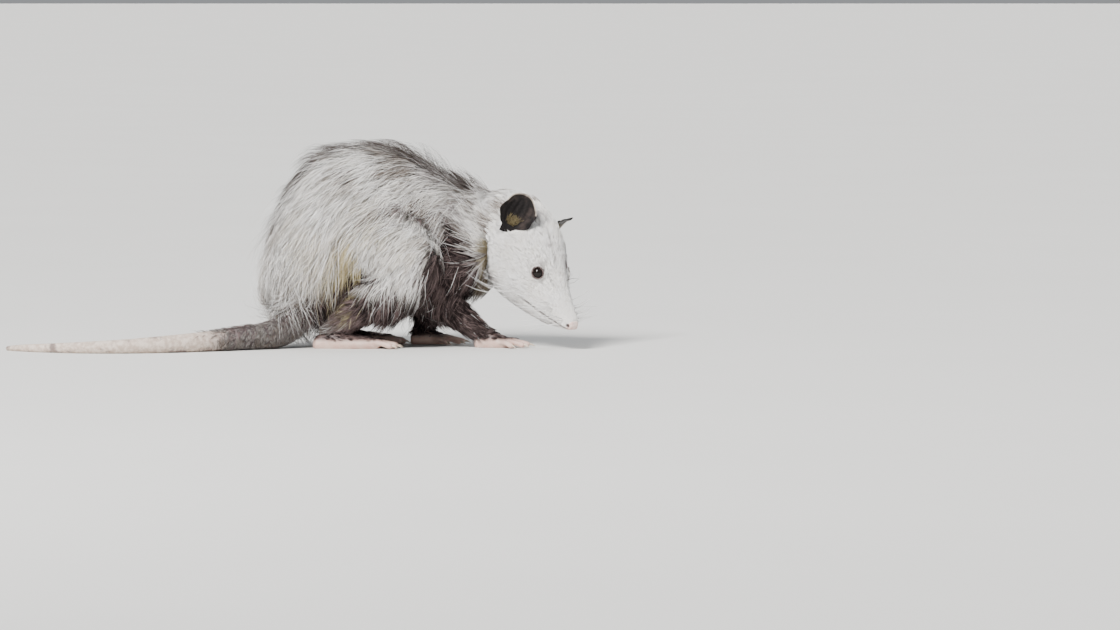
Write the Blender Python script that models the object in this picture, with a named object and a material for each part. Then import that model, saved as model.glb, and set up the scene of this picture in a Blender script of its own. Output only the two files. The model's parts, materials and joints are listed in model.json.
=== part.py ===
"""A still, life-size Virginia opossum: an adult on all fours, back hunched, the
head turned to its right and lowered to sniff the ground, the tail laid out
behind. Sizes are in millimetres until a mesh is made. +X is the way the animal
walks, +Y its left side and +Z up; the soles are at Z = 0."""

import math
import random

import bmesh
import bpy
import numpy as np
from mathutils import Matrix, Vector
from mathutils.bvhtree import BVHTree

MM = 0.001
GAP = 0.3  # the clear gap between two nodes that touch
SEED = 7

# The coat: how much of its depth is solid core, the rest being locks.
CORE_SHARE = 0.5

# Trunk, as upright slices: x, top, bottom, half width, y of the middle, coat depth.
TRUNK = [
    (-119, 92, 50, 18, -17, 8),
    (-114, 110, 42, 29, -16, 9),
    (-103, 134, 38, 38, -15, 10),
    (-90, 157, 38, 44, -14, 11),
    (-76, 176, 43, 47, -12, 12),
    (-52, 186, 43, 50, -8, 12),
    (-25, 188, 44, 51, -3, 12),
    (5, 182, 45, 49, 3, 11),
    (30, 167, 47, 46, 8, 10),
    (55, 154, 52, 42, 11, 9),
    (80, 146, 58, 37, 12, 8),
    (102, 140, 66, 31, 12, 7),
    (112, 128, 80, 18, 11, 6),
]
NECK = [(62, 11, 102, 42, 38), (86, 11, 104, 39, 35)]  # then on into the head
NECK_IN_HEAD = [(122, 8, 33, 31), (104, 8, 31, 28)]  # behind the nose tip, height, radii
SHOULDER_LINE = ((84, 12, 100), (0.94, -0.20, -0.26))  # where neck and torso part

# Locks of the long coat: how far apart their roots are, their length, width and
# thickness, how deep a root is sunk, and how high each stretch lies over the core.
LOCK_SPACING = 31.0
LOCK_LENGTH = 56.0
LOCK_WIDTH = 29.0
LOCK_THICKNESS = 4.0
LOCK_SINK = 4.0
LOCK_LIFT = 8.0
LOCK_HANG = 4.0  # how much further a lock of the belly and rump hangs from the body
LOCK_LOWEST = 30.0  # no lock grows below this height
HEAD_CLEARANCE = 7.0  # nor this close to the head, whose fur is short

# Head: the place of the nose tip, and how the head is turned to the animal's
# right, pitched down and tilted.
NOSE_TIP = (167.6, -67.0, 20.0)
HEAD_TURN = 50.0
HEAD_PITCH = 43.0
HEAD_TILT = 2.0
HEAD_GROWTH = 1.06

# Head slices, in head axes with the mouth line at height 0: distance behind the
# nose tip, top, bottom, half width.
HEAD = [
    (0.6, 5.0, -2.2, 4.4),
    (3.0, 7.2, -5.2, 7.0),
    (8.0, 8.6, -9.2, 8.6),
    (16.0, 10.4, -14.6, 10.4),
    (26.0, 13.2, -21.0, 12.8),
    (38.0, 17.4, -27.2, 16.0),
    (50.0, 23.0, -32.2, 20.0),
    (62.0, 29.6, -35.8, 25.6),
    (76.0, 37.2, -38.2, 31.6),
    (92.0, 43.6, -39.0, 35.2),
    (108.0, 46.6, -37.0, 34.6),
    (122.0, 44.6, -31.0, 30.6),
    (134.0, 36.0, -21.0, 23.0),
    (141.0, 25.0, -8.0, 12.0),
]
MOUTH_ANGLE = 122.0  # where the lips meet, round the slice from its top
MOUTH_CORNER = 56.0  # behind the nose tip
LIP_DEPTH = 1.7
NOSE_CUT = 7.0  # the bare nose ends this far behind its tip
NOSTRIL_SIDE = 4.4
NOSTRIL_RADIUS = 1.6

EYE_BACK = 56.0
EYE_ANGLE = 48.0
EYE_RADIUS = 6.3
EYE_SUNK = 3.7  # how far the eye's middle lies below the skin
LID_RADIUS = 7.8
EYE_OPENING = (6.2, 5.5)  # half length and half height

EAR_BACK = 98.0
EAR_ANGLE = 46.0
EAR_HEIGHT = 37.0
EAR_WIDTH = 36.0
EAR_DEPTH = 10.0
EAR_WALL = 1.4
EAR_ROOT = 5.0  # how far it is sunk in the head before it is cut to fit
# For each ear: the way it stands from the head and the way its cup opens.
EAR_POSE = {
    "right": ((0.18, -0.10, 0.97), (0.10, -1.0, -0.1)),
    "left": ((0.13, 0.96, 0.19), (0.85, -0.08, -0.50)),
}

# Limbs, as rows of x, distance out from the middle line, z, radius in the side
# view, radius across.
THIGH = [
    (-68, 16, 128, 26, 18),
    (-52, 24, 119, 40, 25),
    (-24, 34, 105, 36, 24),
    (4, 41, 90, 27, 20),
    (24, 43, 80, 17, 15),
]
SHANK = [
    (20, 42, 78, 19, 15),
    (-8, 40, 59, 19, 14),
    (-38, 35, 38, 14, 11),
    (-60, 31, 22, 9, 8),
    (-70, 30, 13, 7, 7),
]
UPPER_ARM = [
    (60, 14, 116, 24, 14),
    (58, 27, 98, 28, 19),
    (46, 33, 72, 22, 16),
    (32, 34, 53, 16, 13),
]
FOREARM_REACHING = [
    (30, 34, 50, 15, 13),
    (46, 35, 39, 13.5, 12),
    (64, 35, 25, 10.5, 9.5),
    (82, 34, 12, 7.5, 8.5),
]
FOREARM_STANDING = [
    (28, 34, 52, 15, 13),
    (26, 28, 38, 13, 11.5),
    (24, 21, 23, 10, 9.5),
    (20, 17, 9, 8, 8.5),
]
LEG_MIDDLE_Y = {"hind": -9.0, "fore": 9.0}
LEFT_HIND_SHIFT = 7.0

# Each half of a leg is parted off with an oval region round it: how much wider than
# the limb that is, how far past each end it reaches and how far out it is moved.
PARTING_MARGIN = 6.0
PARTING_REACH = {"upper": 18.0, "lower": 26.0}
PARTING_OUT = 24.0
# Planes across wrists and ankles: a point as x and z, the normal towards the foot.
ANKLE_PLANE = ((-64, 17), (0.0, 0, -1.0))
WRIST_PLANES = {"right": ((77, 15), (0.55, 0, -0.83)), "left": ((21, 14), (0.0, 0, -1.0))}

# Feet, in their own axes: sole slices as distance forward, thickness, half width.
HIND_SOLE = [(-8, 13, 9), (4, 19, 11), (14, 17, 12.5), (28, 12.5, 12.5), (40, 11, 11), (47, 9, 8.5)]
FORE_SOLE = [(-9, 14, 8), (-2, 17, 9.5), (6, 15, 10.5), (14, 11, 10.5), (20, 8.5, 8)]
# Toes: heading in degrees, length, radius at root; all spread from one point.
HIND_TOES = {
    "from": 26.0,
    "reach": 17.0,
    "toes": [(-20, 19, 3.4), (-8, 22, 3.5), (5, 22, 3.5), (18, 20, 3.3)],
}
FORE_TOES = {
    "from": 4.0,
    "reach": 11.0,
    "toes": [(-56, 17, 2.9), (-27, 20, 3.0), (-2, 21, 3.0), (22, 20, 3.0), (48, 17, 2.9)],
}
THUMB = {"from": 22.0, "reach": 8.0, "toes": [(-62, 19, 4.0)]}
FOOT_POSE = {  # heel x, distance out, heading in degrees outwards
    ("hind", "right"): (-70, 29, 4),
    ("hind", "left"): (-64, 29, 8),
    ("fore", "right"): (86, 34, 6),
    ("fore", "left"): (23, 16, 2),
}
CLAW_LENGTH = 6.5
CLAW_RADIUS = 1.2

# Tail: its middle line from inside the rump to the tip, then its radius.
TAIL = [
    (-72, -14, 92, 13.0),
    (-86, -20, 66, 15.0),
    (-93, -25, 45, 14.6),
    (-101, -32, 26, 13.4),
    (-120, -44, 14.0, 12.4),
    (-148, -62, 10.8, 11.2),
    (-182, -84, 9.4, 9.8),
    (-218, -102, 8.0, 8.4),
    (-256, -112, 6.6, 7.0),
    (-294, -112, 5.4, 5.8),
    (-330, -101, 4.2, 4.6),
    (-360, -84, 3.1, 3.4),
    (-374, -71, 2.0, 2.2),
]
TAIL_STEPS = 30
TAIL_CUTS = {"tail_middle": 13, "tail_tip": 21}  # the step at which each length begins

# Colours, as linear light.
WHITE_FUR = (0.62, 0.58, 0.54, 1)
GREY_FUR = (0.40, 0.35, 0.31, 1)
DARK_FUR = (0.035, 0.026, 0.024, 1)
BARE_PINK = (0.72, 0.52, 0.44, 1)
BLACK_SKIN = (0.012, 0.010, 0.010, 1)
CLAW_HORN = (0.62, 0.55, 0.45, 1)
EYE_BLACK = (0.006, 0.005, 0.005, 1)
FINISHES = {
    "white_fur": (WHITE_FUR, 0.9),
    "grey_fur": (GREY_FUR, 0.9),
    "dark_fur": (DARK_FUR, 0.9),
    "bare_pink": (BARE_PINK, 0.55),
    "black_skin": (BLACK_SKIN, 0.6),
    "claw_horn": (CLAW_HORN, 0.35),
    "eye_black": (EYE_BLACK, 0.05),
}


def smooth_rows(rows, count):
    """The rows read at count even steps along a Catmull-Rom curve through them."""
    rows = np.array(rows, float)
    ends = np.vstack([2 * rows[0] - rows[1], rows, 2 * rows[-1] - rows[-2]])
    out = []
    for step in np.linspace(0, len(rows) - 1, count):
        i = min(int(step), len(rows) - 2)
        t = step - i
        a, b, c, d = ends[i : i + 4]
        bend = (2 * a - 5 * b + 4 * c - d) * t**2 + (3 * b - a - 3 * c + d) * t**3
        out.append(0.5 * (2 * b + (c - a) * t + bend))
    return np.array(out)


def finish(obj, name, material_name):
    """Names obj and gives it one of the finishes."""
    obj.name = name
    obj.data.name = name
    made = bpy.data.materials.get(material_name)
    if made is None:
        colour, roughness = FINISHES[material_name]
        made = bpy.data.materials.new(material_name)
        made.use_nodes = True
        shader = made.node_tree.nodes["Principled BSDF"]
        shader.inputs["Base Color"].default_value = colour
        shader.inputs["Roughness"].default_value = roughness
        shader.inputs["Metallic"].default_value = 0.0
    obj.data.materials.clear()
    obj.data.materials.append(made)
    obj.data.shade_smooth()
    obj.data.set_sharp_from_angle(angle=math.radians(50))
    return obj


def object_from(bm, name="piece"):
    bm.normal_update()
    bmesh.ops.recalc_face_normals(bm, faces=bm.faces)
    bmesh.ops.triangulate(bm, faces=bm.faces)
    mesh = bpy.data.meshes.new(name)
    bm.to_mesh(mesh)
    bm.free()
    obj = bpy.data.objects.new(name, mesh)
    bpy.context.scene.collection.objects.link(obj)
    return obj


def lofted(rings):
    """A closed mesh through rings of points, each end closed by a fan."""
    bm = bmesh.new()
    loops = [[bm.verts.new(Vector(p) * MM) for p in ring] for ring in rings]
    for first, second in zip(loops, loops[1:]):
        for i, vert in enumerate(first):
            j = (i + 1) % len(first)
            bm.faces.new((vert, first[j], second[j], second[i]))
    for loop in (loops[0], loops[-1]):
        middle = bm.verts.new(sum((v.co for v in loop), Vector()) / len(loop))
        for i, vert in enumerate(loop):
            bm.faces.new((vert, loop[(i + 1) % len(loop)], middle))
    return object_from(bm)


def rounded_ends(rings):
    """The rings with a smaller ring beyond each end, which rounds it off."""
    out = list(rings)
    for end, inner, place in ((0, 1, 0), (-1, -2, len(rings) + 1)):
        middle = sum(rings[end], Vector()) / len(rings[end])
        before = sum(rings[inner], Vector()) / len(rings[inner])
        radius = sum((p - middle).length for p in rings[end]) / len(rings[end])
        beyond = middle + (middle - before).normalized() * radius * 0.5
        out.insert(place, [beyond + (p - middle) * 0.62 for p in rings[end]])
    return out


def tube(rows, count, sides, grow=0.0):
    """A rounded limb: rows of x, y, z, radius in the side view and radius across."""
    path = smooth_rows([row if len(row) == 5 else (*row, row[3]) for row in rows], count)
    rings = []
    for i, (x, y, z, deep, wide) in enumerate(path):
        ahead = Vector(path[min(i + 1, count - 1)][:3]) - Vector(path[max(i - 1, 0)][:3])
        ahead.normalize()
        across = Vector((0, 1, 0)) if abs(ahead.y) < 0.9 else Vector((1, 0, 0))
        across = (across - ahead * across.dot(ahead)).normalized()
        up = ahead.cross(across)
        turns = [2 * math.pi * k / sides for k in range(sides)]
        rings.append(
            [
                Vector((x, y, z)) + across * (wide + grow) * math.cos(a) + up * (deep + grow) * math.sin(a)
                for a in turns
            ]
        )
    return lofted(rounded_ends(rings))


def ball(middle, radii, axes=None, segments=20, rings=12):
    """An ellipsoid with these radii along the given axes."""
    bm = bmesh.new()
    bmesh.ops.create_uvsphere(bm, u_segments=segments, v_segments=rings, radius=1.0)
    turn = Matrix.Identity(3) if axes is None else Matrix(axes).transposed()
    for vert in bm.verts:
        grown = Vector([c * r for c, r in zip(vert.co, radii)])
        vert.co = (Vector(middle) + turn @ grown) * MM
    return object_from(bm)


def block(point, facing, size=1600.0):
    """A cube that fills the space on the far side of a plane through point."""
    ahead = Vector(facing).normalized()
    across = ahead.orthogonal().normalized()
    up = ahead.cross(across)
    bm = bmesh.new()
    bmesh.ops.create_cube(bm, size=1.0)
    for vert in bm.verts:
        part = ahead * (vert.co.x + 0.5) + across * vert.co.y + up * vert.co.z
        vert.co = (Vector(point) + part * size) * MM
    return object_from(bm)


def applied(obj):
    """Gives obj the mesh that its modifiers make, and removes them."""
    graph = bpy.context.evaluated_depsgraph_get()
    graph.update()
    mesh = bpy.data.meshes.new_from_object(obj.evaluated_get(graph))
    obj.modifiers.clear()
    obj.data = mesh
    return obj


def combined(target, others, operation="UNION"):
    """target with the closed meshes in others joined to it, cut from it or met
    with it. The others are then removed."""
    group = bpy.data.collections.new("others")
    bpy.context.scene.collection.children.link(group)
    for other in others:
        bpy.context.scene.collection.objects.unlink(other)
        group.objects.link(other)
    step = target.modifiers.new("combine", "BOOLEAN")
    step.operation = operation
    step.solver = "MANIFOLD"
    step.operand_type = "COLLECTION"
    step.collection = group
    applied(target)
    for other in list(group.objects):
        bpy.data.objects.remove(other)
    bpy.data.collections.remove(group)
    return target


def copy_of(obj):
    twin = bpy.data.objects.new(obj.name, obj.data.copy())
    bpy.context.scene.collection.objects.link(twin)
    return twin


def largest_only(obj):
    """Keeps the largest closed surface of obj."""
    bm = bmesh.new()
    bm.from_mesh(obj.data)
    left, shells = set(bm.verts), []
    while left:
        todo, shell = [left.pop()], []
        while todo:
            vert = todo.pop()
            shell.append(vert)
            for edge in vert.link_edges:
                other = edge.other_vert(vert)
                if other in left:
                    left.remove(other)
                    todo.append(other)
        shells.append(shell)
    shells.sort(key=len)
    for shell in shells[:-1]:
        bmesh.ops.delete(bm, geom=shell, context="VERTS")
    bm.to_mesh(obj.data)
    bm.free()
    return obj


def parted(obj, point, facing):
    """obj in two pieces with a thin gap at a plane: behind it and beyond it."""
    beyond = copy_of(obj)
    ahead = Vector(facing).normalized()
    combined(obj, [block(point, ahead)], "DIFFERENCE")
    combined(beyond, [block(Vector(point) + ahead * GAP, -ahead)], "DIFFERENCE")
    return obj, beyond


def trunk_object(share):
    rings = []
    for x, top, bottom, half, y, coat in smooth_rows(TRUNK, 30):
        top, bottom, half = top + coat * share, bottom - coat * share, half + coat * share
        middle, deep = (top + bottom) / 2, (top - bottom) / 2
        ring = []
        for k in range(32):
            a = 2 * math.pi * k / 32
            narrow = 1 - 0.14 * max(math.sin(a), 0)
            ring.append(Vector((x, y + half * math.cos(a) * narrow, middle + deep * math.sin(a))))
        rings.append(ring)
    return lofted(rounded_ends(rings))


def head_axes():
    """Forward, left and up of the head."""
    turn, pitch = math.radians(HEAD_TURN), math.radians(HEAD_PITCH)
    forward = Vector(
        (math.cos(pitch) * math.cos(turn), -math.cos(pitch) * math.sin(turn), -math.sin(pitch))
    )
    left = Vector((math.sin(turn), math.cos(turn), 0))
    tilt = Matrix.Rotation(math.radians(HEAD_TILT), 3, forward)
    return forward, tilt @ left, tilt @ forward.cross(left)


def head_place(back, left, up):
    """A point of the head, in millimetres from the nose tip, in the animal's frame."""
    ahead, side, over = head_axes()
    return Vector(NOSE_TIP) + HEAD_GROWTH * (side * left + over * up - ahead * back)


def head_slice(back):
    """Top, bottom and half width of the head at this distance behind the nose tip."""
    steps = np.interp(back, [row[0] for row in HEAD], range(len(HEAD)))
    i = min(int(steps), len(HEAD) - 2)
    fine = smooth_rows(HEAD, 20 * (len(HEAD) - 1) + 1)
    part = (steps - i) * 20
    low = min(i * 20 + int(part), len(fine) - 2)
    share = i * 20 + part - low
    return (fine[low] * (1 - share) + fine[low + 1] * share)[1:]


def head_skin(back, angle, grow=0.0):
    """The head's surface at an angle round its slice, 0 at the top, positive to its left."""
    top, bottom, half = head_slice(back)
    a = math.radians(angle)
    side = half * math.copysign(abs(math.sin(a)) ** 0.92, math.sin(a))
    height = (top if math.cos(a) > 0 else -bottom) * math.cos(a)
    offset = abs(angle) - MOUTH_ANGLE
    reach = 1 / (1 + math.exp((back - MOUTH_CORNER) / 1.5))
    inward = (LIP_DEPTH * math.exp(-((offset / 4) ** 2)) - 0.9 * math.exp(-((offset / 13) ** 2))) * reach
    length = math.hypot(side, height) or 1.0
    wider = 1 + (grow - inward) / length
    return head_place(back, side * wider, height * wider)


def head_normal(back, angle):
    along = head_skin(back + 1, angle) - head_skin(back - 1, angle)
    around = head_skin(back, angle + 2) - head_skin(back, angle - 2)
    normal = along.cross(around).normalized()
    outward = head_skin(back, angle) - head_place(back, 0, 6)
    return normal if normal.dot(outward) > 0 else -normal


def head_solid(grow=0.0):
    one_side = (18, 36, 54, 72, 90, 106, 116, MOUTH_ANGLE, 128, 142, 160)
    angles = [0, *one_side, 180, *(-a for a in reversed(one_side))]
    backs = (0.6, 2, 4.5, 8, 13, 20, 29, 38, 47, 54, 59, 68, 80, 94, 108, 121, 132, 141)
    rings = [[head_skin(b, a, grow) for a in angles] for b in backs]
    if grow:
        ahead = head_axes()[0] * grow * 1.5
        rings[0] = [p + ahead for p in rings[0]]
        rings[-1] = [p - ahead for p in rings[-1]]
    return lofted(rings)


def eye_frame(sign):
    """Middle of the eyeball, and the eye's own axes: outward, along and up."""
    outward = head_normal(EYE_BACK, sign * EYE_ANGLE)
    middle = head_skin(EYE_BACK, sign * EYE_ANGLE) - outward * EYE_SUNK
    ahead = head_axes()[0]
    along = (ahead - outward * ahead.dot(outward)).normalized()
    up = outward.cross(along).normalized()
    if up.z < 0:
        along, up = -along, -up
    return middle, outward, along, up


def head_with_features():
    """The head with lids, eye sockets and nostrils, and the nose cut from it."""
    head = head_solid()
    lids, sockets, openings = [], [], []
    for sign in (-1, 1):
        middle, outward, along, up = eye_frame(sign)
        tilt = Matrix.Rotation(math.radians(14 * sign), 3, outward)
        axes = (tilt @ along, tilt @ up, outward)
        lids.append(ball(middle, [LID_RADIUS] * 3, axes, 14, 8))
        sockets.append(ball(middle, [EYE_RADIUS + 2 * GAP] * 3, axes, 14, 8))
        front = middle + outward * EYE_RADIUS
        openings.append(ball(front, (*EYE_OPENING, 5.0), axes, 12, 6))
    combined(head, lids)
    combined(head, sockets + openings, "DIFFERENCE")
    ahead, left, up = head_axes()
    bores = []
    for sign in (-1, 1):
        place = head_place(1.5, sign * NOSTRIL_SIDE, 2.2)
        bores.append(ball(place, (4.5, NOSTRIL_RADIUS, NOSTRIL_RADIUS * 1.4), (ahead, left, up), 8, 6))
    combined(head, bores, "DIFFERENCE")
    head, nose = parted(head, head_place(NOSE_CUT, 0, 0), ahead)
    return head, nose


def eyeball(sign):
    middle, outward, along, up = eye_frame(sign)
    return ball(middle, [EYE_RADIUS] * 3, (along, up, outward), 14, 8)


def ear_solid(side, grow=0.0):
    """A thin round cup on a narrow stalk."""
    sign = 1 if side == "left" else -1
    stand, opening = (Vector(v).normalized() for v in EAR_POSE[side])
    opening = (opening - stand * opening.dot(stand)).normalized()
    across = stand.cross(opening)
    root = head_skin(EAR_BACK, sign * EAR_ANGLE) - stand * EAR_ROOT
    steps, columns = 8, 8
    bm = bmesh.new()
    faces = []
    for wall in (0.5, -0.5):
        rows = []
        for i in range(steps):
            t = i / (steps - 1)
            height = (EAR_HEIGHT + EAR_ROOT) * math.sin(t * math.pi / 2) ** 0.9
            share = height / (EAR_HEIGHT + EAR_ROOT)
            rise = max(0.0, 1 - (2 * share - 1) ** 2) ** 0.5
            half = EAR_WIDTH / 2 * max(rise, 0.42 * (1 - share)) + 0.4
            row = []
            for j in range(columns):
                s = 2 * j / (columns - 1) - 1
                curl = EAR_DEPTH * (1 - 0.5 * share) * (s * half / (EAR_WIDTH / 2)) ** 2
                lean = 3.0 * share * share
                thickness = (EAR_WALL * (1.2 - 0.5 * share) + 2 * grow) * wall
                place = root + stand * height + across * s * half + opening * (curl - lean + thickness)
                row.append(bm.verts.new(place * MM))
            rows.append(row)
        faces.append(rows)
    inner, outer = faces
    for rows in faces:
        for i in range(steps - 1):
            for j in range(columns - 1):
                a, b, c, d = rows[i][j], rows[i][j + 1], rows[i + 1][j + 1], rows[i + 1][j]
                bm.faces.new((a, b, c))
                bm.faces.new((a, c, d))
    last = columns - 1
    rim = [(i, 0) for i in range(steps)] + [(steps - 1, j) for j in range(1, columns)]
    rim += [(i, last) for i in range(steps - 2, -1, -1)] + [(0, j) for j in range(last - 1, 0, -1)]
    for (i, j), (k, m) in zip(rim, rim[1:] + rim[:1]):
        bm.faces.new((inner[i][j], outer[i][j], outer[k][m], inner[k][m]))
    return object_from(bm)


def leg_rows(rows, pair, side, out=0.0, thicker=0.0):
    """A limb's rows with its distance out from the middle line turned into y."""
    sign = 1 if side == "left" else -1
    shift = LEFT_HIND_SHIFT if (pair, side) == ("hind", "left") else 0
    return [
        (x + shift, LEG_MIDDLE_Y[pair] + sign * (away + out), z, deep + thicker, wide + thicker)
        for x, away, z, deep, wide in rows
    ]


def limbs(pair, side):
    """The rows of the upper and the lower half of one leg."""
    if pair == "hind":
        return {"upper": THIGH, "lower": SHANK}
    return {"upper": UPPER_ARM, "lower": FOREARM_REACHING if side == "right" else FOREARM_STANDING}


def flesh_object(share):
    """Trunk, neck and legs down to wrists and ankles, blended into one skin."""
    trunk = trunk_object(share)
    pieces = []
    for pair in ("hind", "fore"):
        for side in ("right", "left"):
            rows = limbs(pair, side)
            pieces.append(tube(leg_rows(rows["upper"], pair, side, 0, 5 * share), 14, 20))
            pieces.append(tube(leg_rows(rows["lower"], pair, side, 0, 1.5 * share), 14, 16))
    inside = [(*head_place(back, 0, up), tall, wide) for back, up, tall, wide in NECK_IN_HEAD]
    neck = [(x, y, z, tall + 5 * share, wide + 5 * share) for x, y, z, tall, wide in NECK]
    pieces.append(tube(neck + inside, 12, 20))
    combined(trunk, pieces)
    even = trunk.modifiers.new("even", "REMESH")
    even.mode = "VOXEL"
    even.voxel_size = 3.5 * MM
    applied(trunk)
    ease = trunk.modifiers.new("ease", "SMOOTH")
    ease.factor = 0.5
    ease.iterations = 10
    fewer = trunk.modifiers.new("fewer", "DECIMATE")
    fewer.ratio = 0.024
    fewer.use_collapse_triangulate = True
    return applied(trunk)


def lie_of_coat(place, normal):
    """The way the hair lies at a place of the body: back, down and along the skin."""
    side = 1 - abs(normal.z)
    down = 0.15 + 0.55 * side + (0.5 if normal.z < -0.2 else 0)
    if place.z < 100 and abs(normal.y) > 0.4:
        down += 0.8 * (100 - place.z) / 60
    lie = Vector((-1, 0.25 * math.copysign(1, place.y) * max(normal.z, 0), -down))
    lie -= normal * lie.dot(normal)
    return lie.normalized()


def lock_solid(tree, place, normal, size, draw):
    """A flat lock with a low ridge, bent along the body and tapered to its tip."""
    length = LOCK_LENGTH * size
    turn = Matrix.Rotation(draw.uniform(-0.3, 0.3), 3, normal)
    bend = draw.uniform(-0.22, 0.22)
    lie = turn @ lie_of_coat(place, normal)
    hang = LOCK_HANG * max(0.0, -normal.z, -normal.x)
    here, rings, before = place, [], 0.0
    for share, wide in ((0.0, 0.8), (0.3, 1.0), (0.62, 0.86), (0.86, 0.5), (1.0, 0.0)):
        here = here + lie * length * (share - before)
        before = share
        found, facing, _, _ = tree.find_nearest(here)
        here, up = found, facing
        lie = (lie - up * lie.dot(up)).normalized()
        lie = Matrix.Rotation(bend, 3, up) @ lie
        height = -LOCK_SINK + (LOCK_LIFT * size + LOCK_SINK + hang) * share**0.7
        middle, across = here + up * height, up.cross(lie).normalized()
        half, thick = LOCK_WIDTH * size * wide / 2, LOCK_THICKNESS * (0.35 + 0.65 * wide) / 2
        if wide == 0:
            rings.append([middle])
        else:
            low = middle - up * thick
            rings.append([low - across * half, low + across * half, middle + up * thick])
    bm = bmesh.new()
    loops = [[bm.verts.new(p * MM) for p in ring] for ring in rings]
    bm.faces.new(loops[0])
    for first, second in zip(loops[:-1], loops[1:-1]):
        for i in range(3):
            j = (i + 1) % 3
            bm.faces.new((first[i], first[j], second[j], second[i]))
    for i in range(3):
        bm.faces.new((loops[-2][i], loops[-2][(i + 1) % 3], loops[-1][0]))
    return object_from(bm), [sum(ring, Vector()) / len(ring) for ring in rings]


def coat_locks(core):
    """Locks spread evenly over the long-haired parts of core, lying along them."""
    draw = random.Random(SEED)
    bm = bmesh.new()
    bm.from_mesh(core.data)
    bm.transform(Matrix.Scale(1 / MM, 4))
    bmesh.ops.triangulate(bm, faces=bm.faces)
    tree = BVHTree.FromBMesh(bm)
    head = head_solid()
    heads = bmesh.new()
    heads.from_mesh(head.data)
    heads.transform(Matrix.Scale(1 / MM, 4))
    head_tree = BVHTree.FromBMesh(heads)
    bpy.data.objects.remove(head)
    faces = list(bm.faces)
    areas = [face.calc_area() for face in faces]
    locks, roots = [], []
    for face in draw.choices(faces, areas, k=6000):
        a, b, c = (vert.co for vert in face.verts)
        u, v = sorted((draw.random(), draw.random()))
        place, normal = a * u + b * (v - u) + c * (1 - v), face.normal.copy()
        if place.z < LOCK_LOWEST or any((place - other).length < LOCK_SPACING for other in roots):
            continue
        lock, middles = lock_solid(tree, place, normal, draw.uniform(0.88, 1.12), draw)
        near = min(head_tree.find_nearest(p)[3] for p in middles)
        if near < HEAD_CLEARANCE or middles[-1].z < LOCK_LOWEST - 8:
            bpy.data.objects.remove(lock)
            continue
        roots.append(place)
        locks.append(lock)
    bm.free()
    heads.free()
    return locks


def limb_region(pair, side, half, grow=0.0):
    """The oval region round one half of a leg, which reaches well clear of it outside."""
    path = np.array(leg_rows(limbs(pair, side)[half], pair, side, PARTING_OUT))
    start, end = Vector(path[0][:3]), Vector(path[-1][:3])
    along = (end - start).normalized()
    up = along.cross(Vector((0, 1, 0))).normalized()
    radii = (
        (end - start).length / 2 + PARTING_REACH[half] + grow,
        path[:, 3].max() + PARTING_MARGIN + grow,
        path[:, 4].max() + PARTING_MARGIN + PARTING_OUT + grow,
    )
    return ball((start + end) / 2, radii, (along, up, along.cross(up)), 14, 8)


def end_plane(pair, side):
    """The plane where a leg ends and its foot begins."""
    (x, z), facing = ANKLE_PLANE if pair == "hind" else WRIST_PLANES[side]
    shift = LEFT_HIND_SHIFT if (pair, side) == ("hind", "left") else 0
    return (x + shift, 0, z), facing


def toe_rows(spread, toe, sign):
    """The rows of one toe in the foot's axes, from its root to its rounded tip."""
    angle, length, radius = toe
    a = math.radians(angle * sign)
    rows = []
    for share, height, size in ((0, 5.5, 1.15), (0.4, 5.8, 1.0), (0.75, 4.2, 0.95), (1.0, 2.7, 0.85)):
        reach = spread["reach"] + (length + 2) * share
        rows.append((spread["from"] + reach * math.cos(a), reach * math.sin(a), height, radius * size))
    return rows


def foot_solid(pair, side):
    """A foot with its toes, flat underneath, and the claws that sit in them."""
    sign = 1 if side == "left" else -1
    heel_x, away, heading = FOOT_POSE[pair, side]
    turn = Matrix.Rotation(math.radians(heading * sign), 3, "Z")
    heel = Vector((heel_x, LEG_MIDDLE_Y[pair] + sign * away, 0))
    sole = HIND_SOLE if pair == "hind" else FORE_SOLE
    rings = []
    for along, thick, half in smooth_rows(sole, 6):
        ring = []
        for k in range(8):
            a = 2 * math.pi * k / 8
            height = thick * (0.40 + 0.60 * math.sin(a))
            ring.append(heel + turn @ Vector((along, half * math.cos(a), height)))
        rings.append(ring)
    foot = lofted(rounded_ends(rings))
    spread = HIND_TOES if pair == "hind" else FORE_TOES
    toes = [(spread, toe, True) for toe in spread["toes"]]
    if pair == "hind":
        toes.append((THUMB, THUMB["toes"][0], False))
    tubes, claws, claw_holes = [], [], []
    for spread, toe, clawed in toes:
        rows = []
        for x, y, z, radius in toe_rows(spread, toe, sign):
            place = heel + turn @ Vector((x, y, 0))
            rows.append((place.x, place.y, z, radius))
        tubes.append(tube(rows, 4, 5))
        if clawed:
            claws.append(claw_solid(rows))
            claw_holes.append(claw_solid(rows, GAP))
    combined(foot, tubes)
    combined(foot, claw_holes, "DIFFERENCE")
    combined(foot, [block((0, 0, 0), (0, 0, -1))], "DIFFERENCE")
    return foot, claws


def claw_solid(toe, grow=0.0):
    """A curved tapered claw whose root is sunk in the toe's tip."""
    tip, before = Vector(toe[-1][:3]), Vector(toe[-2][:3])
    ahead = tip - before
    ahead.z = 0
    ahead.normalize()
    start = Vector((tip.x, tip.y, toe[-1][2] + 0.7))
    rows = []
    for share in (-0.15, 0.1, 0.35, 0.6, 0.8, 1.0):
        place = start + ahead * CLAW_LENGTH * share
        drop = 2.2 * max(share, 0) ** 2
        radius = CLAW_RADIUS * (1 - 0.78 * max(share, 0) ** 1.3)
        rows.append((place.x, place.y, place.z - drop, radius + grow, radius * 0.8 + grow))
    return tube(rows, 4, 4)


def tail_solid(grow=0.0):
    return tube(TAIL, TAIL_STEPS, 11, grow)


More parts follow.
